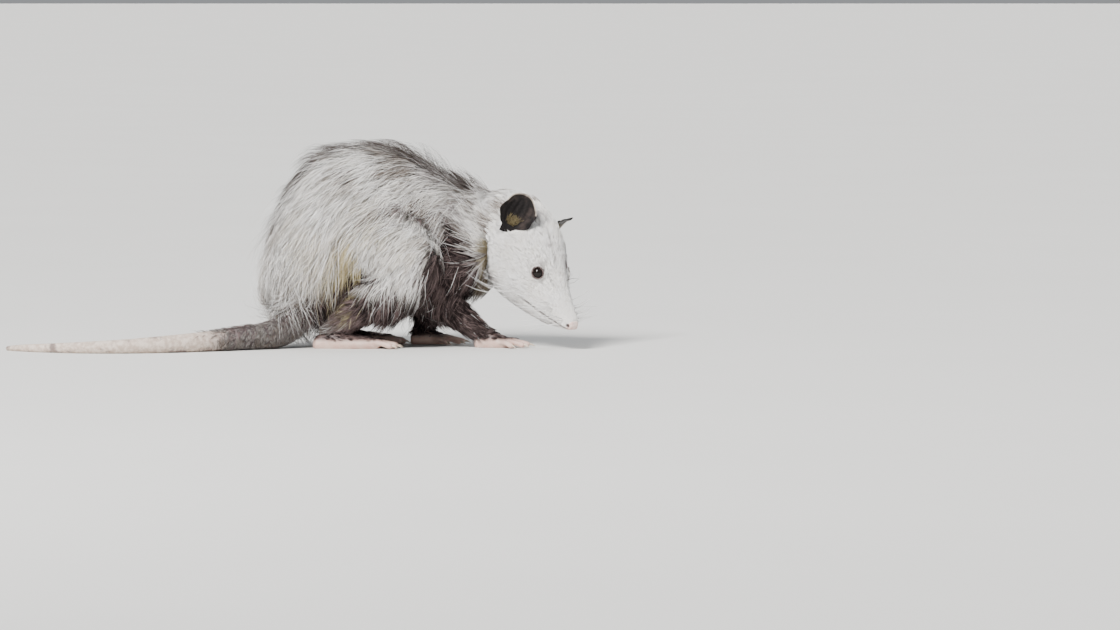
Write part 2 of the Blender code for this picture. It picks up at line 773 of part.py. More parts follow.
def tail_lengths():
    """The tail, flat where it lies on the ground, cut across into three lengths."""
    rest = combined(tail_solid(), [block((0, 0, 0), (0, 0, -1))], "DIFFERENCE")
    path = smooth_rows(TAIL, TAIL_STEPS)
    lengths, name = {}, "tail_base"
    for next_name, step in TAIL_CUTS.items():
        here, ahead = Vector(path[step][:3]), Vector(path[step + 1][:3])
        facing = ahead - here
        facing.z = 0
        lengths[name], rest = parted(rest, here, facing)
        name = next_name
    lengths[name] = rest
    return lengths


def stand_on_origin(objects):
    """Moves every mesh so that the middle of the bottom of the whole box is the origin."""
    corners = np.array([vert.co for obj in objects for vert in obj.data.vertices])
    low, high = corners.min(axis=0), corners.max(axis=0)
    shift = Vector((-(low[0] + high[0]) / 2, -(low[1] + high[1]) / 2, -low[2]))
    for obj in objects:
        obj.data.transform(Matrix.Translation(shift))


def build():
    for obj in list(bpy.data.objects):
        bpy.data.objects.remove(obj)
    whole = flesh_object(CORE_SHARE)
    locks = coat_locks(whole)
    combined(whole, locks)
    tail = tail_lengths()
    combined(whole, [tail_solid(GAP), head_solid(GAP)], "DIFFERENCE")
    nodes = {}
    for pair, upper_name, lower_name, foot_name in (
        ("hind", "thigh", "shank", "hind_foot"),
        ("fore", "upper_arm", "forearm", "forefoot"),
    ):
        for side in ("right", "left"):
            halves = {}
            for half in ("upper", "lower"):
                halves[half] = combined(copy_of(whole), [limb_region(pair, side, half)], "INTERSECT")
                combined(whole, [limb_region(pair, side, half, GAP)], "DIFFERENCE")
            point, facing = end_plane(pair, side)
            combined(halves["lower"], [block(point, facing)], "DIFFERENCE")
            foot, claws = foot_solid(pair, side)
            under = Vector(point) + Vector(facing).normalized() * GAP
            combined(foot, [block(under, -Vector(facing))], "DIFFERENCE")
            nodes[f"{upper_name}_{side}"] = (halves["upper"], "grey_fur" if pair == "hind" else "dark_fur")
            nodes[f"{lower_name}_{side}"] = (halves["lower"], "dark_fur")
            nodes[f"{foot_name}_{side}"] = (foot, "bare_pink")
            for number, claw in enumerate(claws, 1):
                nodes[f"claw_{foot_name}_{side}_{number}"] = (claw, "claw_horn")
    head, nose = head_with_features()
    torso, neck = parted(whole, *SHOULDER_LINE)
    for side, sign in (("right", -1), ("left", 1)):
        combined(neck, [ear_solid(side, GAP)], "DIFFERENCE")
        ear = combined(ear_solid(side), [head_solid(GAP)], "DIFFERENCE")
        nodes[f"ear_{side}"] = (ear, "black_skin")
        nodes[f"eye_{side}"] = (eyeball(sign), "eye_black")
    nodes["torso"] = (torso, "grey_fur")
    nodes["neck"] = (neck, "white_fur")
    nodes["head"] = (head, "white_fur")
    nodes["nose"] = (nose, "bare_pink")
    for name, length in tail.items():
        nodes[name] = (length, "grey_fur" if name == "tail_base" else "bare_pink")
    for name, (obj, finish_name) in nodes.items():
        largest_only(finish(obj, name, finish_name))
    stand_on_origin([obj for obj, _ in nodes.values()])


build()
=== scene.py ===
"""The looks of a still, life-size Virginia opossum: one skin over the whole body, a
coat of thin tapered tufts laid along it, guard hairs, whiskers, wet eyes, claws,
a pale floor and soft studio light. Sizes are in millimetres, in the same frame as
the source of the solids, until a mesh is made: +X is the way the animal walks, +Y
its left side and +Z up, with the soles at Z = 0."""

import json
import math

import bmesh
import bpy
import numpy as np
from mathutils import Matrix, Vector
from mathutils.bvhtree import BVHTree
from mathutils.kdtree import KDTree

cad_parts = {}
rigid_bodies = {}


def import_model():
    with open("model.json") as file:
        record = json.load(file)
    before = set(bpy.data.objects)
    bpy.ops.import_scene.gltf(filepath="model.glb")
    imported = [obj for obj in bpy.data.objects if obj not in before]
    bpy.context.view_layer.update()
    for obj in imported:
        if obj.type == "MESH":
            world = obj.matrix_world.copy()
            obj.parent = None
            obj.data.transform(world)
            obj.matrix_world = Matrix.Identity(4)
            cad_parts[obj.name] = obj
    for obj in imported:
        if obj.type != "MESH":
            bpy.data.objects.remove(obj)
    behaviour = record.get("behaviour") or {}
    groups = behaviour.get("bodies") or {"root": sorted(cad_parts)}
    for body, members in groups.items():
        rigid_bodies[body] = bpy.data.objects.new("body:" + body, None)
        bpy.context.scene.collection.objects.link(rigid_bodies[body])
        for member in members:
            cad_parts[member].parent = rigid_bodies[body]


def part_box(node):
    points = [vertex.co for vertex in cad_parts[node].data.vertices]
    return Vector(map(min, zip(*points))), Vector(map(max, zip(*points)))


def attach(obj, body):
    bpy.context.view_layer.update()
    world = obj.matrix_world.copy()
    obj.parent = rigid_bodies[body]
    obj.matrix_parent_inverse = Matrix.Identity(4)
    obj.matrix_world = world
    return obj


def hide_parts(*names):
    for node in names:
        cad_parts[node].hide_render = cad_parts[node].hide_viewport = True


MM = 0.001
SEED = 11

# Trunk without its coat: x, top, bottom, half width, y of the middle, coat depth.
TRUNK = [
    (-119, 92, 50, 18, -17, 8),
    (-114, 110, 42, 29, -16, 9),
    (-103, 134, 38, 38, -15, 10),
    (-90, 157, 38, 44, -14, 11),
    (-76, 176, 43, 47, -12, 12),
    (-52, 186, 43, 50, -8, 12),
    (-25, 188, 44, 51, -3, 12),
    (5, 182, 45, 49, 3, 11),
    (30, 167, 47, 46, 8, 10),
    (55, 154, 52, 42, 11, 9),
    (80, 146, 58, 37, 12, 8),
    (102, 140, 66, 31, 12, 7),
    (112, 128, 80, 18, 11, 6),
]
TRUNK_SIDES = 48
NECK = [(62, 11, 102, 42, 38), (86, 11, 104, 39, 35)]
NECK_IN_HEAD = [(122, 8, 33, 31), (104, 8, 31, 28)]

# Head: nose tip, turn to the animal's right, pitch down, tilt, and its slices as
# distance behind the nose tip, top, bottom and half width.
NOSE_TIP = (167.6, -67.0, 20.0)
HEAD_TURN = 50.0
HEAD_PITCH = 43.0
HEAD_TILT = 2.0
HEAD_GROWTH = 1.06
HEAD = [
    (0.6, 4.4, -1.2, 4.0),
    (3.0, 6.8, -3.6, 6.4),
    (8.0, 8.4, -7.6, 8.2),
    (16.0, 10.2, -13.2, 10.2),
    (26.0, 13.2, -21.0, 12.8),
    (38.0, 17.4, -27.2, 16.0),
    (50.0, 23.0, -32.2, 20.0),
    (62.0, 29.6, -37.0, 25.6),
    (76.0, 37.2, -41.0, 31.6),
    (92.0, 42.4, -43.0, 35.2),
    (108.0, 43.4, -41.0, 34.6),
    (122.0, 41.0, -34.0, 30.6),
    (134.0, 36.0, -21.0, 23.0),
    (141.0, 25.0, -8.0, 12.0),
]
HEAD_FUR = [(0, 0.0), (12, 0.3), (40, 1.2), (90, 2.6), (141, 3.4)]  # how far in the skin lies
HEAD_FINENESS = 20  # finer rows for each step between the slices
HEAD_ROWS = 210
HEAD_SIDES = 168
MOUTH_ANGLE = 117.0
MOUTH_CORNER = 56.0
MOUTH_DEPTH = 1.9
LIP_RAISE = 0.7
NOSE_CUT = 3.9
NOSTRIL_PLACE = (3.6, 5.2, 1.4)  # behind the nose tip, to its side and up
NOSTRIL_RADIUS = 1.5

EYE_BACK = 56.0
EYE_ANGLE = {"right": 48.0, "left": 60.0}
EYE_RADIUS = 6.3
EYE_SUNK = 3.7
EYE_TILT = 14.0
EYE_REACH = 15.0  # how far out from its middle an eye's markings go
LID_OPENING = (5.3, 4.8)  # half length and half height of the opening between the lids

EAR_BACK = {"right": 104.0, "left": 101.0}
EAR_ANGLE = {"right": 56.0, "left": 44.0}
EAR_HEIGHT = 38.0
EAR_WIDTH = 34.0
EAR_DEPTH = 9.0
EAR_STALK = 0.14  # the share of its height that is stalk, below the round leaf
EAR_WALL = 1.3
EAR_ROOT = 5.0
EAR_STEPS = 44
EAR_COLUMNS = 41
EAR_RIDGES = 5
EAR_RIDGE_HEIGHT = 0.5
EAR_POSE = {
    "right": ((0.50, -0.26, 0.83), (0.05, -1.0, -0.22)),
    "left": ((0.08, 0.97, -0.22), (0.85, -0.16, -0.50)),
}
EAR_OFFSET = {"right": (2.3, 0.0, 2.6), "left": (-2.0, -2.0, -2.0)}

# Limbs: x, distance out from the middle line, z, radius in the side view and across.
THIGH = [
    (-68, 16, 128, 26, 18),
    (-52, 24, 119, 40, 25),
    (-24, 34, 105, 36, 24),
    (4, 41, 90, 27, 20),
    (24, 43, 80, 17, 15),
]
SHANK = [
    (20, 42, 78, 19, 15),
    (-8, 40, 59, 19, 14),
    (-38, 35, 38, 14, 11),
    (-60, 31, 22, 9, 8),
    (-70, 30, 13, 7, 7),
]
UPPER_ARM = [
    (60, 14, 116, 24, 14),
    (58, 27, 98, 28, 19),
    (46, 33, 72, 22, 16),
    (32, 34, 53, 16, 13),
]
FOREARM_REACHING = [
    (30, 34, 50, 15, 13),
    (46, 35, 39, 13.5, 12),
    (64, 35, 25, 10.5, 9.5),
    (82, 34, 12, 7.5, 8.5),
]
FOREARM_STANDING = [
    (28, 34, 52, 15, 13),
    (26, 28, 38, 13, 11.5),
    (24, 21, 23, 10, 9.5),
    (20, 17, 9, 8, 8.5),
]
LEG_MIDDLE_Y = {"hind": -9.0, "fore": 9.0}
LEFT_HIND_SHIFT = 7.0

# Feet, in their own axes: sole slices as distance forward, thickness, half width,
# then toes as heading, length and radius.
HIND_SOLE = [(-8, 13, 9), (4, 19, 11), (14, 17, 12.5), (28, 12.5, 12.5), (40, 11, 11), (47, 9, 8.5)]
FORE_SOLE = [(-9, 14, 8), (-2, 17, 9.5), (6, 15, 10.5), (14, 11, 10.5), (20, 8.5, 8)]
HIND_TOES = {
    "from": 26.0,
    "reach": 17.0,
    "toes": [(-20, 19, 3.4), (-8, 22, 3.5), (5, 22, 3.5), (18, 20, 3.3)],
}
FORE_TOES = {
    "from": 4.0,
    "reach": 11.0,
    "toes": [(-56, 17, 2.9), (-27, 20, 3.0), (-2, 21, 3.0), (22, 20, 3.0), (48, 17, 2.9)],
}
THUMB = {"from": 22.0, "reach": 8.0, "toes": [(-62, 19, 4.0)]}
SOLES = {"hind": HIND_SOLE, "fore": FORE_SOLE}
TOES = {"hind": [HIND_TOES, THUMB], "fore": [FORE_TOES]}
FEET = {"hind": "hind_foot", "fore": "forefoot"}
FOOT_SIDES = 24
# A toe from root to tip: share of its length, height and share of its radius.
TOE_SHAPE = [
    (0, 5.5, 1.15),
    (0.25, 6.3, 0.98),
    (0.42, 6.0, 1.04),
    (0.62, 5.0, 0.86),
    (0.85, 3.7, 0.92),
    (1.0, 3.0, 0.86),
]
FOOT_POSE = {
    ("hind", "right"): (-70, 29, 4),
    ("hind", "left"): (-64, 29, 8),
    ("fore", "right"): (86, 34, 6),
    ("fore", "left"): (23, 16, 2),
}
CLAW_LENGTH = 6.5
CLAW_RADIUS = 1.2

# Tail: its middle line from inside the rump to the tip, then its radius.
TAIL = [
    (-72, -14, 92, 13.0),
    (-86, -20, 66, 15.0),
    (-93, -25, 45, 14.6),
    (-101, -32, 26, 13.4),
    (-120, -44, 14.0, 12.4),
    (-148, -62, 10.8, 11.2),
    (-182, -84, 9.4, 9.8),
    (-218, -102, 8.0, 8.4),
    (-256, -112, 6.6, 7.0),
    (-294, -112, 5.4, 5.8),
    (-330, -101, 4.2, 4.6),
    (-360, -84, 3.1, 3.4),
    (-374, -71, 2.0, 2.2),
]
TAIL_STEPS = 190
TAIL_SIDES = 26
TAIL_FUR_END = 0.54  # how far along the tail its fur reaches
TAIL_FUR_DEPTH = 2.0

# The coat: where its bands begin, the face's fur as distance behind the nose tip,
# depth and length, places along a tuft, and how tufts stray and draw into locks.
BAND_EDGES = (-400, -88, -58, -28, 0, 26, 52, 82, 400)
FACE_FUR = [(0, 0.25, 1.6), (15, 0.45, 2.8), (45, 1.2, 5.0), (90, 2.6, 8.5), (120, 4.0, 13), (141, 5.5, 20)]
LONG_SHARES = (0.0, 0.3, 0.65, 1.0)
SHORT_SHARES = (0.0, 0.45, 1.0)
EAR_SHARES = (0.0, 0.5, 1.0)
COMBING = {"stray": 0.2, "clump_of": 16, "clump": (0.4, 0.95), "lift": 0.45}
FACE_COMBING = {"stray": 0.1, "clump": (0.0, 0.5), "lift": 0.2}
GUARD_COMBING = {"stray": 0.26, "clump": (0.0, 0.3)}
MARK_SPREAD = 0.55  # how much the edges of the markings are broken up
PATCH_HALF = 0.0015  # half the size of a tuft's patch on the unwrap
EAR_TUFTS = {"right": 130, "left": 40}
BROW_HAIRS = {-1: (44, 47, 50), 1: (44,)}  # how far behind the nose tip, by side

BODY_VOXEL = 2.6
FOOT_VOXEL = 1.15

# The camera: what it looks at, how far off it stands, its height in degrees and
# the width of its view at that distance.
CAMERA_AIM = (154.4, -20.0, 30.9)
CAMERA_DISTANCE = 6000.0
CAMERA_ELEVATION = 3.5
VIEW_WIDTH = 1080.8
SENSOR = 36.0

FACINGS = ("fur", "face", "bare", "tail", "ear", "nose")  # the skin's materials, in order
MARKS = ("dark", "white", "stain", "brown", "ridge", "tone", "along")  # what colours the coat
SIDES = {"right": -1, "left": 1}
LEGS = [(pair, side) for pair in ("hind", "fore") for side in SIDES]


def smooth_rows(rows, count):
    """The rows read at count even steps along a Catmull-Rom curve through them."""
    rows = np.array(rows, float)
    ends = np.vstack([2 * rows[0] - rows[1], rows, 2 * rows[-1] - rows[-2]])
    steps = np.linspace(0, len(rows) - 1, count)
    i = np.minimum(steps.astype(int), len(rows) - 2)
    t = (steps - i)[:, None]
    a, b, c, d = ends[i], ends[i + 1], ends[i + 2], ends[i + 3]
    bend = (2 * a - 5 * b + 4 * c - d) * t**2 + (3 * b - a - 3 * c + d) * t**3
    return 0.5 * (2 * b + (c - a) * t + bend)


def unit(vectors):
    """Each row as a unit vector."""
    return vectors / np.maximum(np.linalg.norm(vectors, axis=-1, keepdims=True), 1e-9)


def ramp(value, low, high):
    """0 below low, 1 above high and smooth between."""
    t = np.clip((value - low) / (high - low), 0, 1)
    return t * t * (3 - 2 * t)


def read_rows(rows, places, column):
    """One column of the rows, read at places along their first."""
    return np.interp(places, [row[0] for row in rows], [row[column] for row in rows])


def head_axes():
    """Forward, left and up of the head."""
    turn, pitch = math.radians(HEAD_TURN), math.radians(HEAD_PITCH)
    forward = Vector(
        (math.cos(pitch) * math.cos(turn), -math.cos(pitch) * math.sin(turn), -math.sin(pitch))
    )
    left = Vector((math.sin(turn), math.cos(turn), 0))
    tilt = Matrix.Rotation(math.radians(HEAD_TILT), 3, forward)
    return np.array(forward), np.array(tilt @ left), np.array(tilt @ forward.cross(left))


AHEAD, LEFT, OVER = head_axes()
HEAD_FINE = smooth_rows(HEAD, HEAD_FINENESS * (len(HEAD) - 1) + 1)


def head_place(back, left, up):
    """Points of the head, in millimetres from the nose tip, in the animal's frame."""
    back, left, up = np.broadcast_arrays(back, left, up)
    offset = left[..., None] * LEFT + up[..., None] * OVER - back[..., None] * AHEAD
    return np.array(NOSE_TIP) + HEAD_GROWTH * offset


def in_head(points):
    """How far behind the nose tip, to the left and up points are, in the head's axes."""
    offset = (points - np.array(NOSE_TIP)) / HEAD_GROWTH
    return -offset @ AHEAD, offset @ LEFT, offset @ OVER


def head_skin(back, angle):
    """The head's plain surface at angles round its slices, 0 at the top."""
    back, angle = np.broadcast_arrays(np.asarray(back, float), np.asarray(angle, float))
    along = np.interp(back, [row[0] for row in HEAD], np.arange(len(HEAD)) * HEAD_FINENESS)
    steps = np.arange(len(HEAD_FINE))
    top, bottom, half = (np.interp(along, steps, HEAD_FINE[:, k]) for k in (1, 2, 3))
    a = np.radians(angle)
    side = half * np.sign(np.sin(a)) * np.abs(np.sin(a)) ** 0.92
    return head_place(back, side, np.where(np.cos(a) > 0, top, -bottom) * np.cos(a))


def head_normal(back, angle):
    along = head_skin(back + 1, angle) - head_skin(back - 1, angle)
    around = head_skin(back, angle + 2) - head_skin(back, angle - 2)
    normal = unit(np.cross(along, around))
    outward = head_skin(back, angle) - head_place(back, 0.0, 6.0)
    return normal * np.sign((normal * outward).sum(-1, keepdims=True))


def eye_frame(sign):
    """Middle of the eyeball, and the eye's own axes: outward, along and up."""
    angle = sign * EYE_ANGLE["left" if sign > 0 else "right"]
    outward = head_normal(EYE_BACK, angle)
    middle = head_skin(EYE_BACK, angle) - outward * EYE_SUNK
    along = unit(AHEAD - outward * (AHEAD @ outward))
    up = np.cross(outward, along)
    if up[2] < 0:
        along, up = -along, -up
    return middle, outward, along, up


def off_eye_axis(points, sign):
    """How far off an eye's axis points are, for those in front of its middle."""
    middle, outward, _, _ = eye_frame(sign)
    height = (points - middle) @ outward
    off = np.linalg.norm(points - middle - height[:, None] * outward, axis=1)
    return np.where((height > 0) & (height < EYE_REACH), off, np.inf)


def frame_shift():
    """What takes the source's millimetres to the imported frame, from the right eye."""
    low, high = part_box("eye_right")
    return eye_frame(-1)[0] - np.array((low + high) / 2) / MM


def placed(name, data):
    """An object that holds data, in the scene."""
    obj = bpy.data.objects.new(name, data)
    bpy.context.scene.collection.objects.link(obj)
    return obj


def mesh_object(name, points, faces, slots=0):
    """A mesh object from points in millimetres, with its faces turned outwards."""
    mesh = bpy.data.meshes.new(name)
    mesh.from_pydata(((np.asarray(points) - SHIFT) * MM).tolist(), [], faces)
    bm = bmesh.new()
    bm.from_mesh(mesh)
    bmesh.ops.recalc_face_normals(bm, faces=bm.faces)
    bm.to_mesh(mesh)
    bm.free()
    for _ in range(slots):
        mesh.materials.append(None)
    return placed(name, mesh)


def read(values, key, each=1, kind=np.float32):
    """The key of every vertex, corner or face in values, as an array."""
    found = np.empty(len(values) * each, kind)
    values.foreach_get(key, found)
    return found.reshape(-1, each) if each > 1 else found


def places_of(mesh):
    """The mesh's vertices in millimetres in the source's frame."""
    return read(mesh.vertices, "co", 3).astype(float) / MM + SHIFT


def set_places(mesh, points):
    """Moves the mesh's vertices to points in millimetres."""
    mesh.vertices.foreach_set("co", ((points - SHIFT) * MM).astype(np.float32).ravel())


def grid_faces(rows, columns, steps):
    """Quads between rows of points, with so many steps along each row."""
    i, j = np.meshgrid(np.arange(rows - 1), np.arange(steps), indexing="ij")
    a, b = i * columns + j, i * columns + (j + 1) % columns
    return np.stack([a, b, b + columns, a + columns], -1).reshape(-1, 4).tolist()


def lofted(rings):
    """Points and faces of a closed surface through rings of points."""
    rings = np.asarray(rings, float)
    rows, around = rings.shape[:2]
    points = np.vstack([rings.reshape(-1, 3), rings[0].mean(0), rings[-1].mean(0)])
    quads = grid_faces(rows, around, around)
    k = np.arange(around)
    after, last = (k + 1) % around, (rows - 1) * around
    start = np.stack([after, k, np.full(around, rows * around)], -1).tolist()
    end = np.stack([last + k, last + after, np.full(around, rows * around + 1)], -1).tolist()
    return points, quads + start + end


def rounded_ends(rings):
    """The rings with two smaller rings beyond each end, which round it off."""
    out = list(rings)
    for end, inner, first in ((0, 1, True), (-1, -2, False)):
        middle, before = rings[end].mean(0), rings[inner].mean(0)
        ahead = unit(middle - before)
        radius = np.linalg.norm(rings[end] - middle, axis=1).mean()
        for reach, size in ((0.35, 0.87), (0.62, 0.5)):
            ring = middle + ahead * radius * reach + (rings[end] - middle) * size
            out.insert(0 if first else len(out), ring)
    return np.array(out)


def tube_rings(rows, count, sides):
    """Rings of a rounded limb: rows of x, y, z, radius in the side view and across."""
    path = smooth_rows([row if len(row) == 5 else (*row, row[3]) for row in rows], count)
    ahead = unit(np.gradient(path[:, :3], axis=0))
    across = np.tile([0.0, 1.0, 0.0], (count, 1))
    across[np.abs(ahead[:, 1]) >= 0.9] = (1.0, 0.0, 0.0)
    across = unit(across - ahead * (across * ahead).sum(1, keepdims=True))
    up = np.cross(ahead, across)
    a = 2 * np.pi * np.arange(sides) / sides
    wide = across[:, None] * path[:, None, 4:5] * np.cos(a)[None, :, None]
    deep = up[:, None] * path[:, None, 3:4] * np.sin(a)[None, :, None]
    return path[:, None, :3] + wide + deep


def tube(name, rows, count, sides):
    """A rounded limb through the rows, as a piece of the skin."""
    return mesh_object(name, *lofted(rounded_ends(tube_rings(rows, count, sides))), len(FACINGS))


def leg_rows(rows, pair, side):
    """A limb's rows with its distance out from the middle line turned into y."""
    shift = LEFT_HIND_SHIFT if (pair, side) == ("hind", "left") else 0
    middle, sign = LEG_MIDDLE_Y[pair], SIDES[side]
    return [(x + shift, middle + sign * out, *rest) for x, out, *rest in rows]


def limbs(pair, side):
    """The rows of the upper and the lower half of one leg."""
    if pair == "hind":
        return THIGH, SHANK
    return UPPER_ARM, FOREARM_REACHING if side == "right" else FOREARM_STANDING


def select(*objects):
    """Selects only these objects, with the first one active."""
    bpy.ops.object.select_all(action="DESELECT")
    for obj in objects:
        obj.select_set(True)
    bpy.context.view_layer.objects.active = objects[0]


def join(objects):
    """All the objects as one mesh, in the first one."""
    select(*objects)
    bpy.ops.object.join()
    return objects[0]


def apply_all(obj):
    """Applies every modifier of obj."""
    select(obj)
    for modifier in list(obj.modifiers):
        bpy.ops.object.modifier_apply(modifier=modifier.name)
    return obj


def remeshed(obj, voxel, smoothing):
    """obj as one even surface, its overlapping pieces grown together and eased."""
    even = obj.modifiers.new("even", "REMESH")
    even.mode = "VOXEL"
    even.voxel_size = voxel * MM
    ease = obj.modifiers.new("ease", "SMOOTH")
    ease.factor = 0.5
    ease.iterations = smoothing
    return apply_all(obj)


def united(target, others):
    """target with the closed meshes in others grown into it."""
    group = bpy.data.collections.new("others")
    bpy.context.scene.collection.children.link(group)
    for other in others:
        bpy.context.scene.collection.objects.unlink(other)
        group.objects.link(other)
    step = target.modifiers.new("unite", "BOOLEAN")
    step.operation = "UNION"
    step.solver = "MANIFOLD"
    step.operand_type = "COLLECTION"
    step.collection = group
    apply_all(target)
    for other in list(group.objects):
        bpy.data.objects.remove(other)
    bpy.data.collections.remove(group)
    return target


def set_slot(obj, name):
    """Gives every face of obj the skin's material of this name."""
    index = np.full(len(obj.data.polygons), FACINGS.index(name), np.int32)
    obj.data.polygons.foreach_set("material_index", index)
    return obj


def trunk_piece():
    """The trunk's flesh as a loft through upright slices."""
    a = 2 * np.pi * np.arange(TRUNK_SIDES) / TRUNK_SIDES
    narrow = 1 - 0.14 * np.maximum(np.sin(a), 0)
    rings = []
    for x, top, bottom, half, y, _ in smooth_rows(TRUNK, 60):
        height = (top + bottom) / 2 + (top - bottom) / 2 * np.sin(a)
        rings.append(np.stack([np.full(TRUNK_SIDES, x), y + half * np.cos(a) * narrow, height], 1))
    return mesh_object("trunk", *lofted(rounded_ends(np.array(rings))), len(FACINGS))


def body_piece():
    """Trunk, neck and legs down to wrists and ankles, grown into one even surface."""
    pieces = [trunk_piece()]
    for pair, side in LEGS:
        for rows in limbs(pair, side):
            pieces.append(tube("limb", leg_rows(rows, pair, side), 20, 24))
    inside = [(*head_place(back, 0.0, up), tall, wide) for back, up, tall, wide in NECK_IN_HEAD]
    pieces.append(tube("neck_flesh", NECK + inside, 20, 28))
    return set_slot(remeshed(join(pieces), BODY_VOXEL, 12), "fur")


def mouth_and_nose(back, angle, points):
    """How far the mouth's line, the lips and the edge of the bare nose move the skin."""
    half = np.linalg.norm(points - head_place(back, 0.0, 0.0), axis=-1)
    off = (np.abs(angle) - MOUTH_ANGLE) * np.pi / 180 * half
    reach = 1 / (1 + np.exp((back - MOUTH_CORNER) / 1.6)) * ramp(back, 1.0, 5.0)
    groove = -MOUTH_DEPTH * np.exp(-((off / 0.75) ** 2))
    lips = LIP_RAISE * (np.exp(-(((off - 2.4) / 1.5) ** 2)) + 1.2 * np.exp(-(((off + 2.6) / 1.6) ** 2)))
    edge = -0.45 * np.exp(-(((back - NOSE_CUT) / 0.8) ** 2)) * (np.abs(angle) < 105)
    middle = -0.5 * np.exp(-((angle / 14) ** 2)) * (back < 5)
    return (groove + lips) * reach + edge + middle


def head_piece():
    """The head with its lids, eye sockets, mouth, lips and nostrils."""
    spread = np.linspace(0, 1, HEAD_ROWS)
    back = 0.6 + 140.4 * (0.62 * spread + 0.38 * spread**2.6)
    angle = np.arange(HEAD_SIDES) * 360 / HEAD_SIDES
    angle = np.where(angle > 180, angle - 360, angle)
    back, angle = np.meshgrid(back, angle, indexing="ij")
    plain = head_skin(back, angle)
    move = mouth_and_nose(back, angle, plain) - np.interp(back, *zip(*HEAD_FUR))
    points = plain + move[..., None] * unit(plain - head_place(back, 0.0, 0.0))
    for sign in (-1, 1):
        points = with_nostril(with_eye(points, sign), sign)
    head = mesh_object("head_flesh", *lofted(points), len(FACINGS))
    behind = in_head(((points[:-1] + points[1:]) / 2).reshape(-1, 3))[0]
    lip = (behind > 3.5) & (np.abs(angle[:-1].ravel()) > 112)
    slots = np.full(len(head.data.polygons), FACINGS.index("face"), np.int32)
    slots[: len(behind)][(behind < NOSE_CUT) & ~lip] = FACINGS.index("nose")
    slots[len(behind) : len(behind) + HEAD_SIDES] = FACINGS.index("nose")
    head.data.polygons.foreach_set("material_index", slots)
    return head


def with_eye(points, sign):
    """The head's points sunk round one eyeball, with a raised rim for its lids."""
    middle, outward, along, up = eye_frame(sign)
    tilt = math.radians(EYE_TILT * sign)
    long_way = along * math.cos(tilt) + up * math.sin(tilt)
    tall_way = up * math.cos(tilt) - along * math.sin(tilt)
    offset = points - middle
    height = offset @ outward
    u, v = offset @ long_way, offset @ tall_way
    ring = np.hypot(u / LID_OPENING[0], v / LID_OPENING[1])
    flat = np.hypot(u, v)
    ball = np.sqrt(np.maximum(EYE_RADIUS**2 - flat**2, 0.0))
    near = (height > -2) & (ring < 2.4)
    inner = ball - 0.7
    edge = np.sqrt(EYE_RADIUS**2 - min(LID_OPENING) ** 2) + 0.75
    to_skin = ramp(ring, 1.04, 1.75)
    rim = 0.55 * np.exp(-(((ring - 1.16) / 0.13) ** 2)) + 0.25 * np.exp(-(((ring - 1.55) / 0.2) ** 2))
    outer = edge * (1 - to_skin) + height * to_skin + rim
    inside = ramp(ring, 0.93, 1.02)
    target = inner * (1 - inside) + outer * inside
    return points + np.where(near, target - height, 0.0)[..., None] * outward


def with_nostril(points, sign):
    """The nose's points pressed in where one nostril opens forward and to its side."""
    back, side, up = NOSTRIL_PLACE
    middle = head_place(back, sign * side, up)
    way = unit(-AHEAD * 0.4 - sign * LEFT * 0.9)
    distance = np.linalg.norm(points - middle, axis=-1)
    press = 2.4 * np.exp(-((distance / NOSTRIL_RADIUS) ** 2))
    return points + press[..., None] * way


def foot_axes(pair, side):
    """Heel place, the turn of one foot and its side's sign."""
    sign = SIDES[side]
    heel_x, away, heading = FOOT_POSE[pair, side]
    turn = Matrix.Rotation(math.radians(heading * sign), 3, "Z")
    return np.array((heel_x, LEG_MIDDLE_Y[pair] + sign * away, 0.0)), np.array(turn), sign


def toe_path(spread, toe, pair, side):
    """The rows of one toe, from its root to its rounded tip, with its knuckles."""
    heel, turn, sign = foot_axes(pair, side)
    angle, length, radius = toe
    a = math.radians(angle * sign)
    rows = []
    for share, height, size in TOE_SHAPE:
        reach = spread["reach"] + (length + 2) * share
        place = heel + turn @ np.array((spread["from"] + reach * math.cos(a), reach * math.sin(a), 0))
        rows.append((place[0], place[1], height, radius * size))
    return rows


def foot_piece(pair, side):
    """One bare foot with its toes, flat underneath."""
    heel, turn, _ = foot_axes(pair, side)
    a = 2 * np.pi * np.arange(FOOT_SIDES) / FOOT_SIDES
    rings = []
    for along, thick, half in smooth_rows(SOLES[pair], 20):
        height = thick * (0.40 + 0.60 * np.sin(a))
        ring = np.stack([np.full(FOOT_SIDES, along), half * np.cos(a), height], 1)
        rings.append(heel + ring @ turn.T)
    pieces = [mesh_object("sole", *lofted(rounded_ends(np.array(rings))), len(FACINGS))]
    for spread in TOES[pair]:
        for toe in spread["toes"]:
            pieces.append(tube("toe", toe_path(spread, toe, pair, side), 16, 14))
    foot = remeshed(join(pieces), FOOT_VOXEL, 3)
    points = places_of(foot.data)
    points[:, 2] = np.maximum(points[:, 2], 0.0)
    set_places(foot.data, points)
    foot.data.update()
    return set_slot(foot, "bare")


def tail_piece():
    """The tail, flat where it lies on the floor."""
    rings = rounded_ends(tube_rings(TAIL, TAIL_STEPS, TAIL_SIDES))
    rings[..., 2] = np.maximum(rings[..., 2], 0.0)
    return set_slot(mesh_object("tail_flesh", *lofted(rings), len(FACINGS)), "tail")


def ear_axes(side):
    """Root of an ear, and its own axes: the way it stands, across it and its opening."""
    stand, opening = (unit(np.array(v)) for v in EAR_POSE[side])
    opening = unit(opening - stand * (opening @ stand))
    root = head_skin(EAR_BACK[side], SIDES[side] * EAR_ANGLE[side]) - stand * EAR_ROOT
    root = root + np.array(EAR_OFFSET[side])
    return root, stand, np.cross(stand, opening), opening


